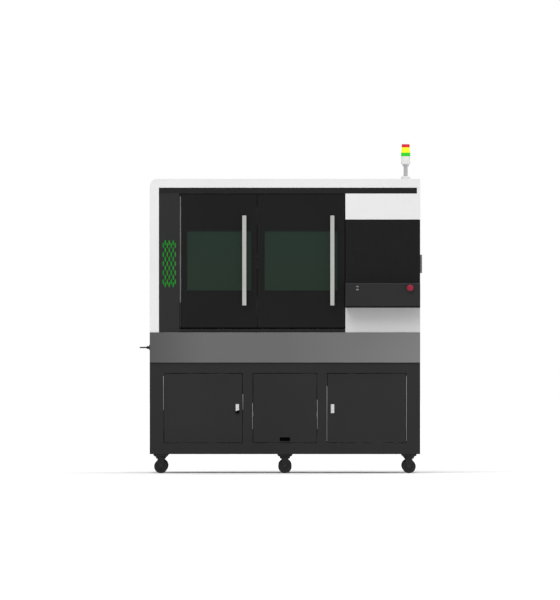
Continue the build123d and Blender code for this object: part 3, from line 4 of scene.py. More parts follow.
import bmesh
import bpy
import numpy as np
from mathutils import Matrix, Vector


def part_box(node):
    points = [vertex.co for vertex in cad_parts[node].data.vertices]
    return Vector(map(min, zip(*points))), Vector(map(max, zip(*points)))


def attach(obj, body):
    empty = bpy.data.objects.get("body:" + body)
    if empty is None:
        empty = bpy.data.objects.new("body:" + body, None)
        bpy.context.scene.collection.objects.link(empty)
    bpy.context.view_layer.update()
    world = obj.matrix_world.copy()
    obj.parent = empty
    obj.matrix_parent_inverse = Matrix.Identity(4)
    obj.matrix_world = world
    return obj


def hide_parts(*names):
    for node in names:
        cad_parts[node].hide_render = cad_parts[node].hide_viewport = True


# Looks of a laser cutting machine: dark coated base on casters, grey machine bed, white hood with
# black folding doors, and the control side. Metres, front towards -Y.
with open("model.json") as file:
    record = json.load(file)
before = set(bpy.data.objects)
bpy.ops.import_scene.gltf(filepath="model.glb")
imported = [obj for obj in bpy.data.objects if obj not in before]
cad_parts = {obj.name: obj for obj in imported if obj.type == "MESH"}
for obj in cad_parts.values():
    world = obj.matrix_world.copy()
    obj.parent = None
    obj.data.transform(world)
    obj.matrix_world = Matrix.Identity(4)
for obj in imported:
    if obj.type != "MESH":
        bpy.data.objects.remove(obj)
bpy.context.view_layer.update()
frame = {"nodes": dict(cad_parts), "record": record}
NODES = frame["nodes"]
MM = 0.001

# Camera: level and straight at the front, from so far that the rear casters hide behind the front
# ones. VIEW_HEIGHT is what the picture shows from its foot to its top at the front plane.
CAMERA_X = -0.031
CAMERA_Z = 1.089
CAMERA_LENS = 1400.0
CAMERA_SENSOR = 36.0
CAMERA_REACH = 400.0
FRONT_PLANE_Y = -0.645
VIEW_HEIGHT = 3.771
camera_data = bpy.data.cameras.new("camera")
camera_data.lens = CAMERA_LENS
camera_data.sensor_width = CAMERA_SENSOR
camera_data.clip_end = CAMERA_REACH
camera = bpy.data.objects.new("camera", camera_data)
camera_back = VIEW_HEIGHT * CAMERA_LENS / CAMERA_SENSOR
camera.location = (CAMERA_X, FRONT_PLANE_Y - camera_back, CAMERA_Z)
camera.rotation_euler = (pi / 2, 0, 0)
bpy.context.scene.collection.objects.link(camera)
bpy.context.scene.camera = camera
bpy.context.scene.view_settings.view_transform = "Standard"

# Sizes of the surface patterns. A real orange peel is about 1 mm wide, a grinding line 0.1 mm and
# mould grain 0.05 mm: they are drawn as coarse as here because finer ones don't show in the render.
PAINT_CLOUD = 450 * MM
PEEL_GRAIN = 4 * MM
TEXTURED_GRAIN = 2.5 * MM
PEEL_HEIGHT = 0.3 * MM
MOULD_FLOW = 40 * MM
MOULD_GRAIN = 1 * MM
TREAD_GRAIN = 1.5 * MM
GLASS_HAZE = 160 * MM
FINE_LINE = 1 * MM
GROUND_LINE = 1.5 * MM
BRUSHED_LINE = 2 * MM
POLISHED_LINE = 6 * MM
LINE_STRETCH = 60
ENAMEL_LINE = 4 * MM
ENAMEL_LINE_LENGTH = 160 * MM
POLE_LINE_LENGTH = 80 * MM
SLAT_LINE = 2.5 * MM
SLAT_LINE_LENGTH = 160 * MM
SCRATCH_DEPTH = 0.1 * MM
ZINC_CRYSTAL = 15 * MM
SLAG = 16 * MM
HEAT_DEPTH = 16 * MM

# Worn edges, which on the dark coats are painted highlight as well: the width of the band, how far
# its normal turns (as a cosine) where wear starts and is full, the size of the rubbed patches, and
# the noise between which a patch fades in
EDGE_BAND = 2 * MM
EDGE_SAMPLES = 4
EDGE_TURN = {"From Min": 0.97, "From Max": 0.8}
RIM_PATCH_SIZE = 90 * MM
RIM_PATCH_FADE = {"From Min": 0.42, "From Max": 0.62}

# Half the spread of roughness that a pattern gives to a coat, to brushed metal and to plastic
COAT_SPREAD = 0.06
BRUSHED_SPREAD = 0.07
MOULD_SPREAD = 0.05

# Heights and widths between which a finish changes along its piece
SLAT_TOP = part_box("bed_slats")[1].z
BED_X = [corner.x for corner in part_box("bed_frame")]
GLASS_Z = [corner.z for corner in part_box("window_left")]
FOOT_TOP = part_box("tower_base")[0].z + 19.5 * MM


def linear(hex_colour):
    """An sRGB hex colour as linear red, green, blue and 1."""
    values = []
    for start in (0, 2, 4):
        share = int(hex_colour[start:start + 2], 16) / 255
        values.append(share / 12.92 if share <= 0.04045 else ((share + 0.055) / 1.055) ** 2.4)
    return (*values, 1.0)


def add(tree, kind, links=(), values=(), stops=(), **settings):
    """Adds one node by its kind's short name: settings are its attributes, values its sockets, links
    its incoming sockets, and stops the (place, colour) points of a ramp in rising order."""
    node = tree.nodes.new("ShaderNode" + kind)
    for name, value in settings.items():
        setattr(node, name, value)
    for socket, value in dict(values).items():
        node.inputs[socket].default_value = value
    for socket, source in dict(links).items():
        tree.links.new(source, node.inputs[socket])
    for step, (place, colour) in enumerate(stops):
        points = node.color_ramp.elements
        point = points[step] if step < 2 else points.new(place)
        point.position, point.color = place, linear(colour)
    return node


def started(name):
    """A new material, its tree and the object's own coordinates."""
    made = bpy.data.materials.new(name)
    made.use_nodes = True
    return made, made.node_tree, add(made.node_tree, "TexCoord").outputs["Object"]


def finished(made, colour, gloss, relief, sockets, rounded=None):
    """Ends a material: its colour, its gloss as (pattern, lowest and highest roughness), its relief
    as (pattern, strength, depth), laid over a rounded normal if there is one, and other sockets."""
    tree = made.node_tree
    shader = tree.nodes["Principled BSDF"]
    pattern, low, high = gloss
    rough = add(tree, "MapRange", {"Value": pattern}, {"To Min": low, "To Max": high})
    pattern, strength, depth = relief
    bump = add(tree, "Bump", {"Height": pattern}, {"Strength": strength, "Distance": depth})
    if rounded is not None:
        tree.links.new(rounded, bump.inputs["Normal"])
    tree.links.new(colour, shader.inputs["Base Color"])
    tree.links.new(rough.outputs["Result"], shader.inputs["Roughness"])
    tree.links.new(bump.outputs["Normal"], shader.inputs["Normal"])
    for socket, value in sockets.items():
        shader.inputs[socket].default_value = value
    return made


def drawn_lines(tree, place, sizes, detail=3.0):
    """Noise drawn out into lines, each about as long and wide as the sizes along x, y and z."""
    scale = [1 / size for size in sizes]
    drawn = add(tree, "Mapping", {"Vector": place}, {"Scale": scale}).outputs["Vector"]
    return add(tree, "TexNoise", {"Vector": drawn}, {"Scale": 1.0, "Detail": detail}).outputs["Fac"]


def worn_and_highlit_rims(tree, place, colour, rim_colour):
    """Paint rubbed thin along edges, and on the dark coats a painted highlight on those edges as well:
    where a normal rounded over the band turns from the face's own, and a patchy noise allows it,
    the rim colour comes through. Gives the colour and that normal."""
    rounded = add(tree, "Bevel", values={"Radius": EDGE_BAND}, samples=EDGE_SAMPLES).outputs["Normal"]
    own = add(tree, "NewGeometry").outputs["Normal"]
    agree = add(tree, "VectorMath", {0: rounded, 1: own}, operation="DOT_PRODUCT").outputs["Value"]
    edge = add(tree, "MapRange", {"Value": agree}, EDGE_TURN).outputs["Result"]
    patch = add(tree, "TexNoise", {"Vector": place}, {"Scale": 1 / RIM_PATCH_SIZE, "Detail": 3.0})
    rim_patches = add(tree, "MapRange", {"Value": patch.outputs["Fac"]}, RIM_PATCH_FADE).outputs["Result"]
    share = add(tree, "Math", {0: edge, 1: rim_patches}, operation="MULTIPLY").outputs["Value"]
    mixed = add(tree, "Mix", {0: share, 6: colour}, {7: linear(rim_colour)}, data_type="RGBA")
    return mixed.outputs[2], rounded


def powder_coat(name, dark, light, rim_colour, roughness, peel=0.25, specular=0.15, grain=PEEL_GRAIN):
    """Baked powder coat on steel: even colour with faint clouds, an orange peel that breaks up the
    sheen, and edges rubbed towards the rim colour, which on the dark coats is lighter and so also
    a painted highlight on the edges."""
    made, tree, place = started(name)
    cloud = add(tree, "TexNoise", {"Vector": place}, {"Scale": 1 / PAINT_CLOUD, "Detail": 4.0})
    tone = add(tree, "ValToRGB", {"Fac": cloud.outputs["Fac"]}, stops=((0.3, dark), (0.7, light)))
    tone, rounded = worn_and_highlit_rims(tree, place, tone.outputs["Color"], rim_colour)
    skin = add(tree, "TexNoise", {"Vector": place}, {"Scale": 1 / grain, "Detail": 3.0}).outputs["Fac"]
    gloss = (skin, roughness - COAT_SPREAD, roughness + COAT_SPREAD)
    relief = (skin, peel, PEEL_HEIGHT)
    return finished(made, tone, gloss, relief, {"Specular IOR Level": specular}, rounded)


def brushed_metal(name, dark, light, roughness, along, line, metallic=1.0):
    """Metal with straight grinding lines, a line wide and sixty times as long along one axis, in
    tone, gloss and height."""
    made, tree, place = started(name)
    sizes = [line] * 3
    sizes["xyz".index(along)] *= LINE_STRETCH
    lines = drawn_lines(tree, place, sizes)
    tone = add(tree, "ValToRGB", {"Fac": lines}, stops=((0.25, dark), (0.75, light))).outputs["Color"]
    gloss = (lines, roughness - BRUSHED_SPREAD, roughness + BRUSHED_SPREAD)
    return finished(made, tone, gloss, (lines, 0.15, SCRATCH_DEPTH), {"Metallic": metallic})


def moulded_plastic(name, dark, light, roughness, grain=MOULD_GRAIN, specular=0.2, glow=0.0,
                    glow_colour="ffffff"):
    """Moulded plastic or rubber: faint flow clouds and the fine grain of a spark-eroded mould.
    The glow is for lenses with a lamp behind them."""
    made, tree, place = started(name)
    flow = add(tree, "TexNoise", {"Vector": place}, {"Scale": 1 / MOULD_FLOW, "Detail": 3.0})
    tone = add(tree, "ValToRGB", {"Fac": flow.outputs["Fac"]}, stops=((0.3, dark), (0.7, light)))
    skin = add(tree, "TexNoise", {"Vector": place}, {"Scale": 1 / grain, "Detail": 2.0}).outputs["Fac"]
    gloss = (skin, roughness - MOULD_SPREAD, roughness + MOULD_SPREAD)
    sockets = {
        "Specular IOR Level": specular,
        "Emission Color": linear(glow_colour),
        "Emission Strength": glow,
    }
    return finished(made, tone.outputs["Color"], gloss, (skin, 0.2, SCRATCH_DEPTH), sockets)


def galvanised(name):
    """Hot-dip galvanised sheet: zinc crystals, each a little lighter, darker, glossier or duller."""
    made, tree, place = started(name)
    crystals = add(tree, "TexVoronoi", {"Vector": place}, {"Scale": 1 / ZINC_CRYSTAL}).outputs
    each = add(tree, "RGBToBW", {"Color": crystals["Color"]}).outputs["Val"]
    tone = add(tree, "ValToRGB", {"Fac": each}, stops=((0.2, "8f9294"), (0.8, "b4b6b8")))
    relief = (crystals["Distance"], 0.1, SCRATCH_DEPTH)
    return finished(made, tone.outputs["Color"], (each, 0.32, 0.5), relief, {"Metallic": 1.0})


def filter_glass(name):
    """Dyed acrylic: dark and smooth, a little bluer towards its top, with faint haze."""
    made, tree, place = started(name)
    height = add(tree, "SeparateXYZ", {"Vector": place}).outputs["Z"]
    limits = {"From Min": GLASS_Z[0], "From Max": GLASS_Z[1]}
    share = add(tree, "MapRange", {"Value": height}, limits).outputs["Result"]
    tone = add(tree, "ValToRGB", {"Fac": share}, stops=((0.0, "212e24"), (1.0, "202e28")))
    haze = add(tree, "TexNoise", {"Vector": place}, {"Scale": 1 / GLASS_HAZE, "Detail": 3.0})
    haze = haze.outputs["Fac"]
    sockets = {"IOR": 1.49, "Specular IOR Level": 0.1}
    return finished(made, tone.outputs["Color"], (haze, 0.05, 0.12), (haze, 0.05, PEEL_HEIGHT), sockets)


def bed_enamel(name):
    """Enamel over a ground steel beam: level grinding lines show through, painted light lightens it
    towards the right as in the photograph, and its edges are rubbed to a lighter steel grey that is
    also a painted highlight."""
    made, tree, place = started(name)
    along = add(tree, "SeparateXYZ", {"Vector": place}).outputs["X"]
    limits = {"From Min": BED_X[0], "From Max": BED_X[1]}
    share = add(tree, "MapRange", {"Value": along}, limits).outputs["Result"]
    # Painted light: the grey steps lighter towards the right, as light falls along the band
    stops = ((0.0, "4c4c4c"), (0.2, "606060"), (0.5, "606060"), (0.7, "686868"), (1.0, "747474"))
    tone = add(tree, "ValToRGB", {"Fac": share}, stops=stops).outputs["Color"]
    tone, rounded = worn_and_highlit_rims(tree, place, tone, "9a9a9a")
    lines = drawn_lines(tree, place, (ENAMEL_LINE_LENGTH, ENAMEL_LINE_LENGTH, ENAMEL_LINE), 4.0)
    relief = (lines, 0.2, SCRATCH_DEPTH)
    return finished(made, tone, (lines, 0.36, 0.52), relief, {"Metallic": 0.35}, rounded)


def fired_steel(name):
    """Raw steel slats: brushed grey below, heat tints of straw and blue and dark slag at the tips
    that the beam strikes, with a ragged border: the height plus a noise decides the tint."""
    made, tree, place = started(name)
    lines = drawn_lines(tree, place, (SLAT_LINE_LENGTH, SLAT_LINE, SLAT_LINE))
    steel = add(tree, "ValToRGB", {"Fac": lines}, stops=((0.25, "5f5c59"), (0.75, "8b8884")))
    height = add(tree, "SeparateXYZ", {"Vector": place}).outputs["Z"]
    ragged = add(tree, "TexNoise", {"Vector": place}, {"Scale": 1 / SLAG, "Detail": 4.0}).outputs["Fac"]
    shift = {"To Min": -HEAT_DEPTH / 2, "To Max": HEAT_DEPTH / 2}
    shift = add(tree, "MapRange", {"Value": ragged}, shift).outputs["Result"]
    level = add(tree, "Math", {0: height, 1: shift}, operation="ADD").outputs["Value"]
    limits = {"From Min": SLAT_TOP - HEAT_DEPTH, "From Max": SLAT_TOP}
    heat = add(tree, "MapRange", {"Value": level}, limits).outputs["Result"]
    stops = ((0.0, "ffffff"), (0.35, "d8bc90"), (0.6, "9094b4"), (1.0, "5c5450"))
    tint = add(tree, "ValToRGB", {"Fac": heat}, stops=stops).outputs["Color"]
    both = {6: steel.outputs["Color"], 7: tint}
    tone = add(tree, "Mix", both, {0: 1.0}, data_type="RGBA", blend_type="MULTIPLY").outputs[2]
    return finished(made, tone, (heat, 0.4, 0.75), (ragged, 0.4, PEEL_HEIGHT), {"Metallic": 0.9})


def tower_foot(name):
    """The tower's stand: a white moulded foot up to the pole, then drawn steel, lines upright."""
    made, tree, place = started(name)
    lines = drawn_lines(tree, place, (GROUND_LINE, GROUND_LINE, POLE_LINE_LENGTH))
    steel = add(tree, "ValToRGB", {"Fac": lines}, stops=((0.25, "a2a4a6"), (0.75, "b4b6b8")))
    height = add(tree, "SeparateXYZ", {"Vector": place}).outputs["Z"]
    above = add(tree, "Math", {0: height}, {1: FOOT_TOP}, operation="GREATER_THAN").outputs["Value"]
    both = {0: above, 7: steel.outputs["Color"]}
    tone = add(tree, "Mix", both, {6: linear("dcdcdc")}, data_type="RGBA").outputs[2]
    tree.links.new(above, tree.nodes["Principled BSDF"].inputs["Metallic"])
    relief = (lines, 0.1, SCRATCH_DEPTH)
    return finished(made, tone, (lines, 0.3, 0.45), relief, {"Specular IOR Level": 0.3})


MATERIALS = {
    # Powder coat on the folded sheets of the base: a flat, dark field with a broken sheen
    "dark_paint": powder_coat("powder_coated_steel_charcoal", "222223", "262627", "707072", 0.52),
    # Metallic enamel on the ground bed: a satin band with level lines, between the matt sheets, and
    # painted light that makes it lighter towards the right
    "bed_paint": bed_enamel("metallic_enamel_grey"),
    # Powder coat on the hood: white and matt, with a faint peel where light grazes it
    "white_paint": powder_coat("powder_coated_steel_white", "dedede", "e3e3e3", "b9b9b9", 0.42,
                               specular=0.3),
    # Powder coat on the door's tracks: darker and glossier than the base
    "black_paint": powder_coat("powder_coated_steel_black", "1d1d1e", "202021", "5c5c5e", 0.4,
                               specular=0.1),
    # Glass printed black on its back: a deep black with a smooth, clear sheen
    "black_glass": moulded_plastic("black_glass_touch_panel", "121213", "151516", 0.12, MOULD_FLOW, 0.12),
    # Cast acrylic dyed against laser light: a dark green pane without texture
    "green_glass": filter_glass("laser_filter_acrylic_green"),
    # Anodised aluminium bars brushed lengthwise: fine upright lines and a wide soft highlight
    "satin_metal": brushed_metal("brushed_anodised_aluminium", "a8aaa6", "b8b9b5", 0.34, "z",
                                  BRUSHED_LINE),
    # Rolled steel, zinc plated: dull mid grey, so that the knuckles stand out from the door
    "hinge_steel": brushed_metal("zinc_plated_hinge_steel", "6a6a6a", "7a7a7a", 0.5, "z",
                                 BRUSHED_LINE),
    # Hardened steel ground along the rail: a narrow bright streak from end to end
    "rail_steel": brushed_metal("ground_bearing_steel", "9a9a9c", "b8b8ba", 0.25, "y", GROUND_LINE),
    # Raw sheet burnt by the beam: brown and blue tips over a grey blade
    "slat_steel": fired_steel("fired_slat_steel"),
    # Sheet dipped in zinc: a flowered pattern of crystals, each with its own gloss
    "zinc_sheet": galvanised("hot_dip_galvanised_sheet"),
    # Cast zinc, polished and chromed: nearly a mirror, which makes the latches the brightest spots
    "chrome": brushed_metal("polished_chrome", "c6c7c8", "d4d5d6", 0.12, "x", POLISHED_LINE),
    # Extruded aluminium: pale, with the die's lines along the beam
    "beam_aluminium": brushed_metal("extruded_aluminium", "b2b4b6", "c6c8ca", 0.36, "x", BRUSHED_LINE),
    # Textured coat on bought units: a coarse, dry grain that tells them from the cabinet
    "unit_paint": powder_coat("textured_coat_light_grey", "bcbdc0", "c5c6c8", "8c8d90", 0.6, 0.5,
                              grain=TEXTURED_GRAIN),
    # Turned aluminium, anodised black: dark, with lines that show in the light only
    "head_black": brushed_metal("black_anodised_aluminium", "202022", "2c2c2e", 0.4, "z",
                                BRUSHED_LINE, 0.6),
    # Pressed steel coated black: glossier than the sheets, with rims rubbed grey that also paint the
    # highlight on the edges
    "caster_black": powder_coat("black_pressed_steel", "202020", "282828", "6a6a6a", 0.38),
    # Moulded nylon: a waxy, grey black roll
    "wheel_black": moulded_plastic("black_nylon_tread", "1c1c1c", "232323", 0.45, TREAD_GRAIN),
    # Moulded ABS: deep red with one round, soft highlight
    "red_plastic": moulded_plastic("red_abs_mushroom", "8d1632", "961d38", 0.3),
    # Moulded ABS: warm white and satin, softer than the hood's paint
    "housing_white": moulded_plastic("white_abs_housing", "dededc", "e4e4e2", 0.4),
    # Dyed polycarbonate with a lamp behind it: full colour that stays clear in the shade
    "lens_green": moulded_plastic("green_polycarbonate_lens", "22b022", "30bc30", 0.25,
                                  glow=0.25, glow_colour="20d820"),
    "lens_yellow": moulded_plastic("yellow_polycarbonate_lens", "dcdc20", "e6e62c", 0.25,
                                   glow=0.25, glow_colour="e8f020"),
    "lens_red": moulded_plastic("red_polycarbonate_lens", "c01c30", "cc2438", 0.25,
                                glow=0.2, glow_colour="e02038"),
    # Acrylic diffuser lit from behind: cloudy green light in the slots of the column
    "light_green": moulded_plastic("lit_green_diffuser", "065c0c", "187a1c", 0.4, specular=0.1,
                                   glow=0.35, glow_colour="0ca014"),
    # Tinned sheet steel: a thin bright rim round the ports
    "port_metal": brushed_metal("tinned_port_shell", "9a9a9a", "b4b4b4", 0.3, "x", FINE_LINE),
}

# The hood's white powder coat made darker: painted shade on the lower panel under the console,
# which the lower panel has in the photograph
SHADED_WHITE_COAT = powder_coat("white_powder_coat_painted_shade", "cbcbcb", "d1d1d1", "b0b0b0", 0.45,
                        specular=0.3)
# Powder coat of the folding leaves: the deepest black, so that the glass looks green beside it
DOOR_BLACK = powder_coat("powder_coated_steel_deep_black", "131314", "161617", "38383a", 0.4,
                         specular=0.1)
# Moulded seal rubber: black without a sheen, which reads as a gap or a soft edge; on the left
# latch's cap it is painted shade
RUBBER_AND_SHADE = moulded_plastic("black_seal_rubber_and_painted_shade", "050505", "080808", 0.8, specular=0.03)
# The same rubber dusted grey by use, beside the long hinge
SEAL_GREY = moulded_plastic("grey_seal_rubber", "222222", "282828", 0.7)
# Extruded rubber, a little glossier: a thin dark frame round the glass, and painted shade as the
# strip under the console
GASKET_AND_SHADE = moulded_plastic("black_gasket_rubber_and_painted_shade", "151515", "191919", 0.6, specular=0.1)
# Painted highlight: bright brushed metal, a thin bright line beside the gaps of the base where
# their edges catch light
PAINTED_HIGHLIGHT_METAL = brushed_metal("painted_edge_highlight_metal", "8e8e8e", "9e9e9e", 0.35, "z", FINE_LINE)
# Black oxide on turned steel: small dark glints
SCREW_STEEL = brushed_metal("black_oxide_screw_steel", "3c3c3e", "4a4a4c", 0.4, "z", FINE_LINE)
# Turned copper: a warm, bright cone
COPPER = brushed_metal("turned_copper", "b4683e", "c87c50", 0.3, "z", FINE_LINE)
# Fired and ground alumina: a cream ring with a soft gloss
CERAMIC = moulded_plastic("fired_alumina_ceramic", "e2dccb", "e8e2d2", 0.35)
# Phosphated steel: nearly black, with a dull metal sheen
DARK_PIN = brushed_metal("phosphated_pin_steel", "242425", "2e2e2f", 0.45, "z", FINE_LINE)
# Brushed steel in the shade of the hood's side: mid grey with upright lines
GRIP_STEEL = brushed_metal("brushed_steel_grip", "747474", "828282", 0.4, "z", GROUND_LINE)
FINISHES = {
    "side_handle": GRIP_STEEL,
    "lower_panel": SHADED_WHITE_COAT,
    "door_leaf_left": DOOR_BLACK,
    "door_leaf_right": DOOR_BLACK,
    # Moulded ABS foot and drawn steel pole: white below, bright upright lines above
    "tower_base": tower_foot("white_foot_and_drawn_steel_pole"),
    "base_hinges": DARK_PIN,
    "gas_inlet": DARK_PIN,
}
slots = {part["node"]: part["material_slot"] for part in frame["record"]["subparts"]}
for name, node in NODES.items():
    node.data.materials.clear()
    node.data.materials.append(FINISHES.get(name, MATERIALS[slots[name]]))

# Extra pieces: each is a grid of points worked out as whole arrays, then made one mesh
WELD = 0.02 * MM
SHARP_EDGE = radians(35)
LEFT, RIGHT = (-1, 0, 0), (1, 0, 0)
FRONT, BACK = (0, -1, 0), (0, 1, 0)
DOWN, UP = (0, 0, -1), (0, 0, 1)


def skinned(name, points, finish, body, around=True):
    """A mesh over grids of points [..., row, column, xyz]: a quad between every four neighbours,
    the last column joined to the first where the surface runs around, and doubled points merged."""
    rows, columns = points.shape[-3:-1]
    copies = points.reshape(-1, rows, columns, 3)
    spans = columns if around else columns - 1
    row, column = np.meshgrid(np.arange(rows - 1), np.arange(spans), indexing="ij")
    beside = (column + 1) % columns
    quads = np.stack([row * columns + column, row * columns + beside,
                      (row + 1) * columns + beside, (row + 1) * columns + column], -1).reshape(-1, 4)
    quads = quads[None] + np.arange(len(copies))[:, None, None] * rows * columns
    mesh = bpy.data.meshes.new(name)
    mesh.from_pydata(copies.reshape(-1, 3).tolist(), [], quads.reshape(-1, 4).tolist())
    welded = bmesh.new()
    welded.from_mesh(mesh)
    bmesh.ops.remove_doubles(welded, verts=welded.verts, dist=WELD)
    bmesh.ops.recalc_face_normals(welded, faces=welded.faces)
    welded.to_mesh(mesh)
    welded.free()
    mesh.materials.append(finish)
    mesh.shade_smooth()
    mesh.set_sharp_from_angle(angle=SHARP_EDGE)
    piece = bpy.data.objects.new(name, mesh)
    bpy.context.scene.collection.objects.link(piece)
    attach(piece, body)
    return piece


def frame_of(axis):
    """Two unit vectors square to an axis and the axis itself, as rows of a matrix."""
    along = np.array(axis, float)
    side = np.cross(along, (0.0, 0.0, 1.0) if abs(along[2]) < 0.9 else (1.0, 0.0, 0.0))
    side /= np.linalg.norm(side)
    return np.array([side, np.cross(along, side), along])


def placed(section, first=0.0, second=0.0):
    """A section's points, given in millimetres, moved to its place: each point plus that place."""
    return [(first + point[0] * MM, second + point[1] * MM) for point in section]


def turned(profile, centres, axis, columns=32, ribs=0, rib_depth=0.0):
    """A profile of (radius, height) swept round an axis at each centre: radius times (cos t, sin t)
    across the axis, height along it. Ribs take a raised cosine of t off the radius."""
    profile = np.array(profile, float)
    turn = np.linspace(0, 2 * pi, columns, endpoint=False)
    cut = rib_depth * (0.5 - 0.5 * np.cos(ribs * turn))
    radius = np.maximum(profile[:, :1] - cut * (profile[:, :1] > rib_depth), 0.0)
    height = np.broadcast_to(profile[:, 1:], radius.shape)
    local = np.stack([radius * np.cos(turn), radius * np.sin(turn), height], -1)
    return np.array(centres, float).reshape(-1, 1, 1, 3) + local @ frame_of(axis)


def button_heads(centres, axis, radius, columns=24):
    """Button-head screws: a dome round a six-sided socket, whose radius is its flat over cos of the
    angle from the nearest flat's middle. Rings are (radius, height) in shares of the head's radius."""
    turn = np.linspace(0, 2 * pi, columns, endpoint=False)
    socket = 0.34 / np.cos((turn % (pi / 3)) - pi / 6)
    rings = [(0.0, 0.2), (socket, 0.2), (socket, 0.55), (0.6, 0.52), (0.85, 0.36), (1.0, 0.0)]
    local = np.stack([
        np.stack([ring * np.cos(turn), ring * np.sin(turn), np.full_like(turn, height)], -1)
        for ring, height in rings
    ])
    return np.array(centres, float).reshape(-1, 1, 1, 3) + radius * local @ frame_of(axis)


def rounded_loop(x, z, radius, corner_points=6):
    """A rounded rectangle in x and z: corner centre plus radius times (cos t, sin t), and those
    outward directions."""
    turn = np.linspace(0, pi / 2, corner_points)[None] + np.arange(4)[:, None] * pi / 2
    outward = np.stack([np.cos(turn), np.sin(turn)], -1).reshape(-1, 2)
    side_x = np.repeat([x[1] - radius, x[0] + radius, x[0] + radius, x[1] - radius], corner_points)
    side_z = np.repeat([z[1] - radius, z[1] - radius, z[0] + radius, z[0] + radius], corner_points)
    return np.stack([side_x, side_z], -1) + radius * outward, outward


def lip(x, z, radius, section, middle=False):
    """A section of (outward, y) points carried round a rounded rectangle in x and z; with middle
    the first and last ring shrink to the rectangle's middle, which closes a cup."""
    path, outward = rounded_loop(x, z, radius)
    rings = [np.insert(path + reach * outward, 1, depth, axis=1) for reach, depth in section]
    if middle:
        for ring in (0, -1):
            rings[ring] = np.broadcast_to(rings[ring].mean(axis=0), rings[ring].shape)
    return np.stack(rings)


def bar(section, low, high, axis):
    """A section carried straight along x, y or z from low to high, its ends closed on their middle.
    The section's two numbers are the other two axes in order."""
    section = np.array(section, float)
    centre = np.broadcast_to(section.mean(axis=0), section.shape)
    rings = [np.insert(ring, "xyz".index(axis), at, axis=1)
             for ring, at in ((centre, low), (section, low), (section, high), (centre, high))]
    return np.stack(rings)


# Window gaskets: a rubber lip round each glass, from the pane to just proud of the leaf. The
# section is outward from the opening and back from the leaf's face, which stands before the pane.
GLASS_LAP = 8 * MM
PANE_BEHIND = 3 * MM
WINDOW_CORNER = 3 * MM
GASKET_SECTION = ((-2.5, 2.9), (-2.5, -0.9), (-1.3, -1.7), (1.3, -1.7), (2.8, -0.9), (2.8, -0.05),
                  (0.0, -0.05), (0.0, 2.9), (-2.5, 2.9))
for side in ("left", "right"):
    low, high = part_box(f"window_{side}")
    opening_x = (low.x + GLASS_LAP, high.x - GLASS_LAP)
    opening_z = (low.z + GLASS_LAP, high.z - GLASS_LAP)
    section = placed(GASKET_SECTION, 0.0, low.y - PANE_BEHIND)
    gasket = lip(opening_x, opening_z, WINDOW_CORNER, section)
    skinned(f"window_gasket_{side}", gasket, GASKET_AND_SHADE, f"{side}_leaf")

# Jamb seals: a bulb of rubber above and below the long hinge, as thick as its knuckles
KNUCKLE_RADIUS = 6 * MM
SEAL_CHAMFER = 1 * MM
hinge_low, hinge_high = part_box("jamb_hinge")
leaf_low, leaf_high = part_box("door_leaf_left")
jamb = (hinge_low.x + KNUCKLE_RADIUS, hinge_low.y + KNUCKLE_RADIUS, 0.0)
for name, low, high in (("lower", leaf_low.z, hinge_low.z), ("upper", hinge_high.z, leaf_high.z)):
    neck = KNUCKLE_RADIUS - SEAL_CHAMFER
    bulb = [(0, low), (neck, low), (KNUCKLE_RADIUS, low + SEAL_CHAMFER),
            (KNUCKLE_RADIUS, high - SEAL_CHAMFER), (neck, high), (0, high)]
    shape = turned(bulb, jamb, UP, columns=24)
    skinned(f"jamb_seal_{name}", shape, SEAL_GREY, "cabinet")

# Door sweeps: a rubber blade under each leaf, just over the sill. The section is back from the
# blade's middle and up from the leaf's lower edge.
SWEEP_INSET = 8 * MM
SWEEP_SECTION = ((-3.0, 2.0), (3.0, 2.0), (1.0, -7.0), (-1.0, -7.0))
for side in ("left", "right"):
    low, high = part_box(f"door_leaf_{side}")
    blade = placed(SWEEP_SECTION, leaf_high.y - SWEEP_INSET, leaf_low.z)
    skinned(f"door_sweep_{side}", bar(blade, low.x, high.x, "x"), RUBBER_AND_SHADE, f"{side}_leaf")

# Finger cup in the scrap drawer's slot: a moulded bowl with a thin rim on the face. The section is
# outward from the slot and back from the face.
SLOT_X = (-30 * MM, 30 * MM)
SLOT_Z = (204 * MM, 224 * MM)
SLOT_CORNER = 3 * MM
CUP_SECTION = ((-1.0, 13.0), (-1.0, 13.0), (-0.8, 0.0), (0.0, -1.0), (1.5, -1.0), (2.5, -0.4),
               (2.5, -0.05), (-0.2, -0.05), (-0.3, 14.2), (-0.3, 14.2))
drawer_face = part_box("scrap_drawer_front")[0].y
cup = lip(SLOT_X, SLOT_Z, SLOT_CORNER, placed(CUP_SECTION, 0.0, drawer_face), True)
skinned("finger_cup", cup, RUBBER_AND_SHADE, "scrap_drawer")

# Painted highlights: bright beads beside the upright gaps of the base, standing for the light that
# the gaps' edges catch: the panel, which of its ends, and the heights between which the
# photograph shows the highlight
BEAD = 1.6 * MM
BEAD_TIP = 0.96 * MM
BEAD_OUT = 4.6 * MM
HIGHLIGHT_BEADS = (
    ("base_door_left", 0, 0.398, 0.611), ("base_door_left", 1, 0.398, 0.498),
    ("scrap_drawer_front", 0, 0.278, 0.442), ("scrap_drawer_front", 1, 0.278, 0.461),
    ("base_door_right", 0, 0.203, 0.548), ("base_door_right", 1, 0.203, 0.611),
)
beads = []
for node, end, low, high in HIGHLIGHT_BEADS:
    bead_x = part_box(node)[end].x + (BEAD_OUT if end else -BEAD_OUT)
    rod = [(0, low), (BEAD_TIP, low), (BEAD, low + BEAD),
           (BEAD, high - BEAD), (BEAD_TIP, high), (0, high)]
    beads.append(turned(rod, (bead_x, drawer_face, 0), UP, columns=12))
skinned("painted_highlight_beads", np.stack(beads), PAINTED_HIGHLIGHT_METAL, "cabinet")

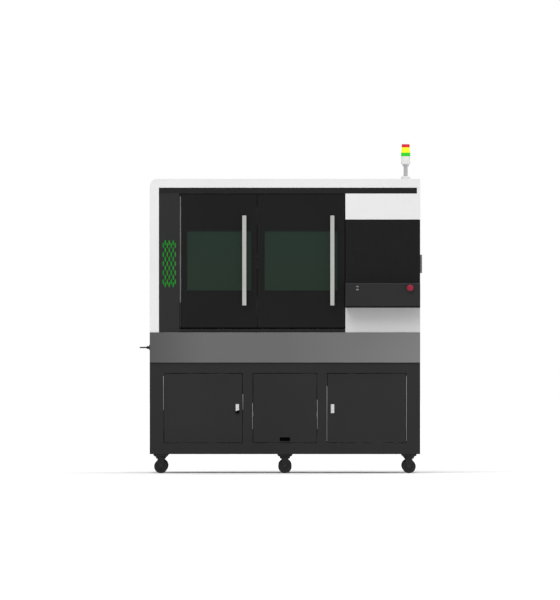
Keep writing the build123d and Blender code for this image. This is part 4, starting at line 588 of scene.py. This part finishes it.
# Painted shade: a dark rubber strip under the console's front edge, where the console's shadow
# falls on the panel, narrower towards its foot. The section is back and up from that edge.
LIP_END = 1 * MM
LIP_SECTION = ((0.5, 0.5), (7.0, 0.5), (5.0, -5.0), (1.5, -5.0))
console_low, console_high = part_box("console")
strip = placed(LIP_SECTION, console_low.y, console_low.z)
strip = bar(strip, console_low.x + LIP_END, console_high.x - LIP_END, "x")
skinned("console_shadow_strip", strip, GASKET_AND_SHADE, "cabinet")

# Web inside the side handle's bow, so that fingers rest on steel. How far it comes out and how far
# it stops from the bow's ends are shares of the bow's reach.
WEB_HALF = 1.5 * MM
WEB_REACH = 0.55
WEB_END = 0.8
grip_low, grip_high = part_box("side_handle")
bow = grip_high.x - grip_low.x
web_x = grip_low.x + WEB_REACH * bow
web_y = (grip_low.y + grip_high.y) / 2
web = [(grip_low.x, web_y - WEB_HALF), (web_x, web_y - WEB_HALF),
       (web_x, web_y + WEB_HALF), (grip_low.x, web_y + WEB_HALF)]
web = bar(web, grip_low.z + WEB_END * bow, grip_high.z - WEB_END * bow, "z")
skinned("side_grip_web", web, GRIP_STEEL, "service_door")

# Screws round the back sheets of cabinet and base
SCREW_INSET = 15 * MM
SHEET_SCREW = 5 * MM
SHEET = 2 * MM


def border(x, y, z, upright, level):
    """Places round an upright sheet at depth y, an inset from its rim: upright and level say, for
    its sides and for its foot and top, how far from the corners they start and how many there are."""
    sides = np.linspace(z[0] + upright[0], z[1] - upright[0], upright[1])
    ends = np.linspace(x[0] + level[0], x[1] - level[0], level[1])
    places = [(at, y, up) for at in (x[0] + SCREW_INSET, x[1] - SCREW_INSET) for up in sides]
    return places + [(at, y, up) for up in (z[0] + SCREW_INSET, z[1] - SCREW_INSET) for at in ends]


wall_low, wall_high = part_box("back_wall")
spigot_low, spigot_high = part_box("exhaust_spigot")
base_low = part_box("base_skin")[0]
base_back = spigot_low.y + SHEET
screws = border((wall_low.x, wall_high.x), wall_high.y, (wall_low.z, wall_high.z),
                (4 * SCREW_INSET, 5), (5 * SCREW_INSET, 6))
screws += border((base_low.x, -base_low.x), base_back, (base_low.z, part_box("bed_frame")[0].z),
                 (2 * SCREW_INSET, 4), (5 * SCREW_INSET, 6))
screws = button_heads(screws, BACK, SHEET_SCREW)
skinned("panel_screws", screws, SCREW_STEEL, "cabinet")

# Six screws in the exhaust collar's flange
FLANGE_CIRCLE = 85 * MM
FLANGE_SCREW = 4 * MM
turn = np.arange(6) * pi / 3 + pi / 6
duct_z = (spigot_low.z + spigot_high.z) / 2
screws = np.stack([FLANGE_CIRCLE * np.cos(turn), np.full(6, base_back + SHEET),
                   duct_z + FLANGE_CIRCLE * np.sin(turn)], -1)
screws = button_heads(screws, BACK, FLANGE_SCREW)
skinned("flange_screws", screws, SCREW_STEEL, "cabinet")

# Three screws in the tower's foot
FOOT_CIRCLE = 18.3 * MM
FOOT_SEAT = 19 * MM
FOOT_SCREW = 2.3 * MM
tower_low, tower_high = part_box("tower_base")
tower_x = (tower_low.x + tower_high.x) / 2
tower_y = (tower_low.y + tower_high.y) / 2
turn = np.arange(3) * 2 * pi / 3 + pi / 2
screws = np.stack([tower_x + FOOT_CIRCLE * np.cos(turn), tower_y + FOOT_CIRCLE * np.sin(turn),
                   np.full(3, tower_low.z + FOOT_SEAT)], -1)
screws = button_heads(screws, UP, FOOT_SCREW)
skinned("tower_foot_screws", screws, SCREW_STEEL, "cabinet")

# Four screws in the square foot of the gas fitting
GAS_OFFSETS = (-12.5 * MM, 12.5 * MM)
GAS_FOOT = 4 * MM
GAS_SCREW = 2.4 * MM
gas_low, gas_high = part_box("gas_inlet")
gas_y = (gas_low.y + gas_high.y) / 2
gas_z = (gas_low.z + gas_high.z) / 2
screws = [(gas_high.x - GAS_FOOT, gas_y + y, gas_z + z) for y in GAS_OFFSETS for z in GAS_OFFSETS]
screws = button_heads(screws, LEFT, GAS_SCREW)
skinned("gas_foot_screws", screws, SCREW_STEEL, "cabinet")

# Hexagon bolts under the caster plates: a six-sided turned profile with a chamfered top
BOLT_OFFSETS = (-37 * MM, 37 * MM)
PLATE_BELOW = 9 * MM
BOLT_PROFILE = ((0.0, 5.0), (5.4, 5.0), (6.5, 4.0), (6.5, 0.0))
places = []
for name in NODES:
    if name.startswith("caster_wheel"):
        low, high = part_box(name)
        middle_x = (low.x + high.x) / 2
        middle_y = (low.y + high.y) / 2
        places += [(middle_x + x, middle_y + y, base_low.z - PLATE_BELOW)
                   for x in BOLT_OFFSETS for y in BOLT_OFFSETS]
bolts = turned(placed(BOLT_PROFILE), places, DOWN, columns=6)
skinned("caster_bolts", bolts, SCREW_STEEL, "cabinet")

# Tower lenses: the turned lens with upright prism ribs moulded round it. Each narrows by the draft
# of its mould, and the red one on top has a rounded rim.
LENS_DRAFT = 1.5 * MM
LENS_EDGE = 2 * MM
RIBS = 36
RIB_DEPTH = 1.1 * MM
for colour, rim in (("green", 0.0), ("yellow", 0.0), ("red", LENS_EDGE)):
    low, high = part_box(f"tower_lens_{colour}")
    reach = (high.x - low.x) / 2
    top = reach - LENS_DRAFT
    outline = [(0, low.z), (reach, low.z), (top, high.z - LENS_EDGE), (top - rim, high.z), (0, high.z)]
    ribbed = turned(outline, (tower_x, tower_y, 0), UP, 4 * RIBS, RIBS, RIB_DEPTH)
    lens = skinned(f"tower_lens_{colour}_ribbed", ribbed, MATERIALS[f"lens_{colour}"], "cabinet")
    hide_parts(f"tower_lens_{colour}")

# Copper nozzle and ceramic ring of the cutting head: turned, closed on the head's axis, with
# heights over the head's lower end
HEAD_AXIS = 34 * MM
NOZZLE_PROFILE = ((0.0, 3.0), (0.9, 3.0), (0.9, -0.1), (3.3, -0.1), (9.1, 12.0), (10.9, 12.0),
                  (11.3, 12.5), (11.3, 16.2), (0.0, 16.2))
RING_PROFILE = ((0.0, 22.4), (14.5, 22.4), (15.0, 22.9), (15.0, 30.0), (14.5, 30.5), (0.0, 30.5))
head_low, head_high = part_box("cutting_head")
head_foot = ((head_low.x + head_high.x) / 2, head_low.y + HEAD_AXIS, head_low.z)
for name, profile, finish in (("copper_nozzle", NOZZLE_PROFILE, COPPER),
                              ("ceramic_ring", RING_PROFILE, CERAMIC)):
    shape = turned(placed(profile), head_foot, UP, columns=40)
    skinned(name, shape, finish, "lift")

# Ports: a plastic tongue in each mouth. Its heights are over the mouth's middle, its depths behind
# the ports' face.
MOUTH_INSET = 3.5 * MM
TONGUE_SIDE = 2 * MM
TONGUE_Z = (0.2 * MM, 1.7 * MM)
TONGUE_Y = (1 * MM, 8 * MM)
port_low, port_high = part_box("usb_ports")
left, right = port_low.x + TONGUE_SIDE, port_high.x - TONGUE_SIDE
for name, z in (("upper", port_high.z - MOUTH_INSET), ("lower", port_low.z + MOUTH_INSET)):
    foot, top = z + TONGUE_Z[0], z + TONGUE_Z[1]
    tongue = [(left, foot), (right, foot), (right, top), (left, top)]
    shape = bar(tongue, port_low.y + TONGUE_Y[0], port_low.y + TONGUE_Y[1], "y")
    skinned(f"port_tongue_{name}", shape, RUBBER_AND_SHADE, "cabinet")

# Painted shade on the left latch: a black sloped cap over the grip's lower end, where it lies in
# shadow, as in the photograph. The section is sideways from the grip's middle and up from its foot.
GRIP_LENGTH = 58 * MM
TOE_SECTION = ((-11.4, -0.4), (11.4, -0.4), (11.4, 21.0), (-11.4, 14.0))
TOE_Y = (-0.5 * MM, 9 * MM)
latch_low, latch_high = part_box("latch_left")
toe = placed(TOE_SECTION, (latch_low.x + latch_high.x) / 2, latch_high.z - GRIP_LENGTH)
toe = bar(toe, latch_low.y + TOE_Y[0], latch_low.y + TOE_Y[1], "y")
skinned("latch_shadow_cap", toe, RUBBER_AND_SHADE, "left_latch")

# Handle rosettes: a shallow turned collar where each post meets its leaf
POST_INSET = 50 * MM
ROSETTE_PROFILE = ((0.0, -0.2), (10.0, -0.2), (10.0, 1.4), (9.0, 2.2), (0.0, 2.2))
for side in ("left", "right"):
    low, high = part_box(f"handle_{side}")
    places = [((low.x + high.x) / 2, leaf_low.y, z) for z in (low.z + POST_INSET, high.z - POST_INSET)]
    shape = turned(placed(ROSETTE_PROFILE), places, FRONT)
    skinned(f"handle_rosettes_{side}", shape, MATERIALS["satin_metal"], f"{side}_leaf")

# Fan guard on the chiller: four wire rings, each a small circle carried round a larger one, on two
# rods. Ring radii are in millimetres.
RING_RADII = (40, 66, 92, 118)
WIRE = 1.6 * MM
GUARD_BEFORE = 2 * MM
FAN_HEIGHT = 220 * MM
chill_low, chill_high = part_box("chiller")
fan = ((chill_low.x + chill_high.x) / 2, chill_low.y - GUARD_BEFORE, chill_low.z + FAN_HEIGHT)
around_wire = np.linspace(0, 2 * pi, 9)
for ring in RING_RADII:
    wire = np.stack([ring * MM + WIRE * np.cos(around_wire), WIRE * np.sin(around_wire)], -1)
    shape = turned(wire, fan, BACK, columns=48)
    skinned(f"fan_guard_{ring}", shape, SCREW_STEEL, "cabinet")
end = RING_RADII[-1] * MM
rod = [(0, -end), (WIRE, -end), (WIRE, end), (0, end)]
for name, axis in (("level", RIGHT), ("upright", UP)):
    shape = turned(rod, fan, axis, columns=8)
    skinned(f"fan_guard_{name}", shape, SCREW_STEEL, "cabinet")

# Floor: matt and pale, so large that it fills the picture. Its glow is for the camera alone and
# brings it to the background's white, with the machine's shadow still on it.
FLOOR_SIZE = 200.0
FLOOR_GLOW = 0.12
FLOOR_SOCKETS = {
    "Base Color": linear("ececec"),
    "Roughness": 0.9,
    "Specular IOR Level": 0.1,
    "Emission Color": linear("ffffff"),
}
floor_paint = bpy.data.materials.new("pale_floor")
floor_paint.use_nodes = True
floor_tree = floor_paint.node_tree
floor_shader = floor_tree.nodes["Principled BSDF"]
for socket, value in FLOOR_SOCKETS.items():
    floor_shader.inputs[socket].default_value = value
seen = {"Value": add(floor_tree, "LightPath").outputs["Is Camera Ray"]}
glow = add(floor_tree, "MapRange", seen, {"To Min": 0.0, "To Max": FLOOR_GLOW}).outputs["Result"]
floor_tree.links.new(glow, floor_shader.inputs["Emission Strength"])
edge = FLOOR_SIZE / 2
corners = [(-edge, -edge, 0), (edge, -edge, 0), (edge, edge, 0), (-edge, edge, 0)]
floor_mesh = bpy.data.meshes.new("floor")
floor_mesh.from_pydata(corners, [], [(0, 1, 2, 3)])
floor_mesh.materials.append(floor_paint)
floor = bpy.data.objects.new("floor", floor_mesh)
bpy.context.scene.collection.objects.link(floor)

# World: white to the camera, through glass and in reflections, and half as strong as light
AMBIENT = 0.5
world = bpy.data.worlds.new("studio")
world.use_nodes = True
bpy.context.scene.world = world
world_tree = world.node_tree
background = world_tree.nodes["Background"]
rays = add(world_tree, "LightPath").outputs
straight = {0: rays["Is Camera Ray"], 1: rays["Is Transmission Ray"]}
straight = add(world_tree, "Math", straight, operation="MAXIMUM").outputs["Value"]
seen = {0: straight, 1: rays["Is Glossy Ray"]}
seen = add(world_tree, "Math", seen, operation="MAXIMUM").outputs["Value"]
strength = add(world_tree, "MapRange", {"Value": seen}, {"To Min": AMBIENT, "To Max": 1.0})
world_tree.links.new(strength.outputs["Result"], background.inputs["Strength"])
background.inputs["Color"].default_value = linear("ffffff")


def soft_sun(name, azimuth, elevation, strength, width):
    """Far soft light that comes from an azimuth round the machine (0 is the front) and an elevation,
    from a patch of sky of some width, all three in degrees."""
    turn, rise = radians(azimuth), radians(elevation)
    from_there = Vector((sin(turn) * cos(rise), -cos(turn) * cos(rise), sin(rise)))
    data = bpy.data.lights.new(name, "SUN")
    data.energy = strength
    data.angle = radians(width)
    made = bpy.data.objects.new(name, data)
    made.rotation_euler = from_there.to_track_quat("Z", "Y").to_euler()
    bpy.context.scene.collection.objects.link(made)


soft_sun("key", -18.0, 50.0, 1.7, 50.0)
soft_sun("back_fill", 160.0, 40.0, 0.9, 60.0)
soft_sun("right_fill", 75.0, 25.0, 0.5, 60.0)
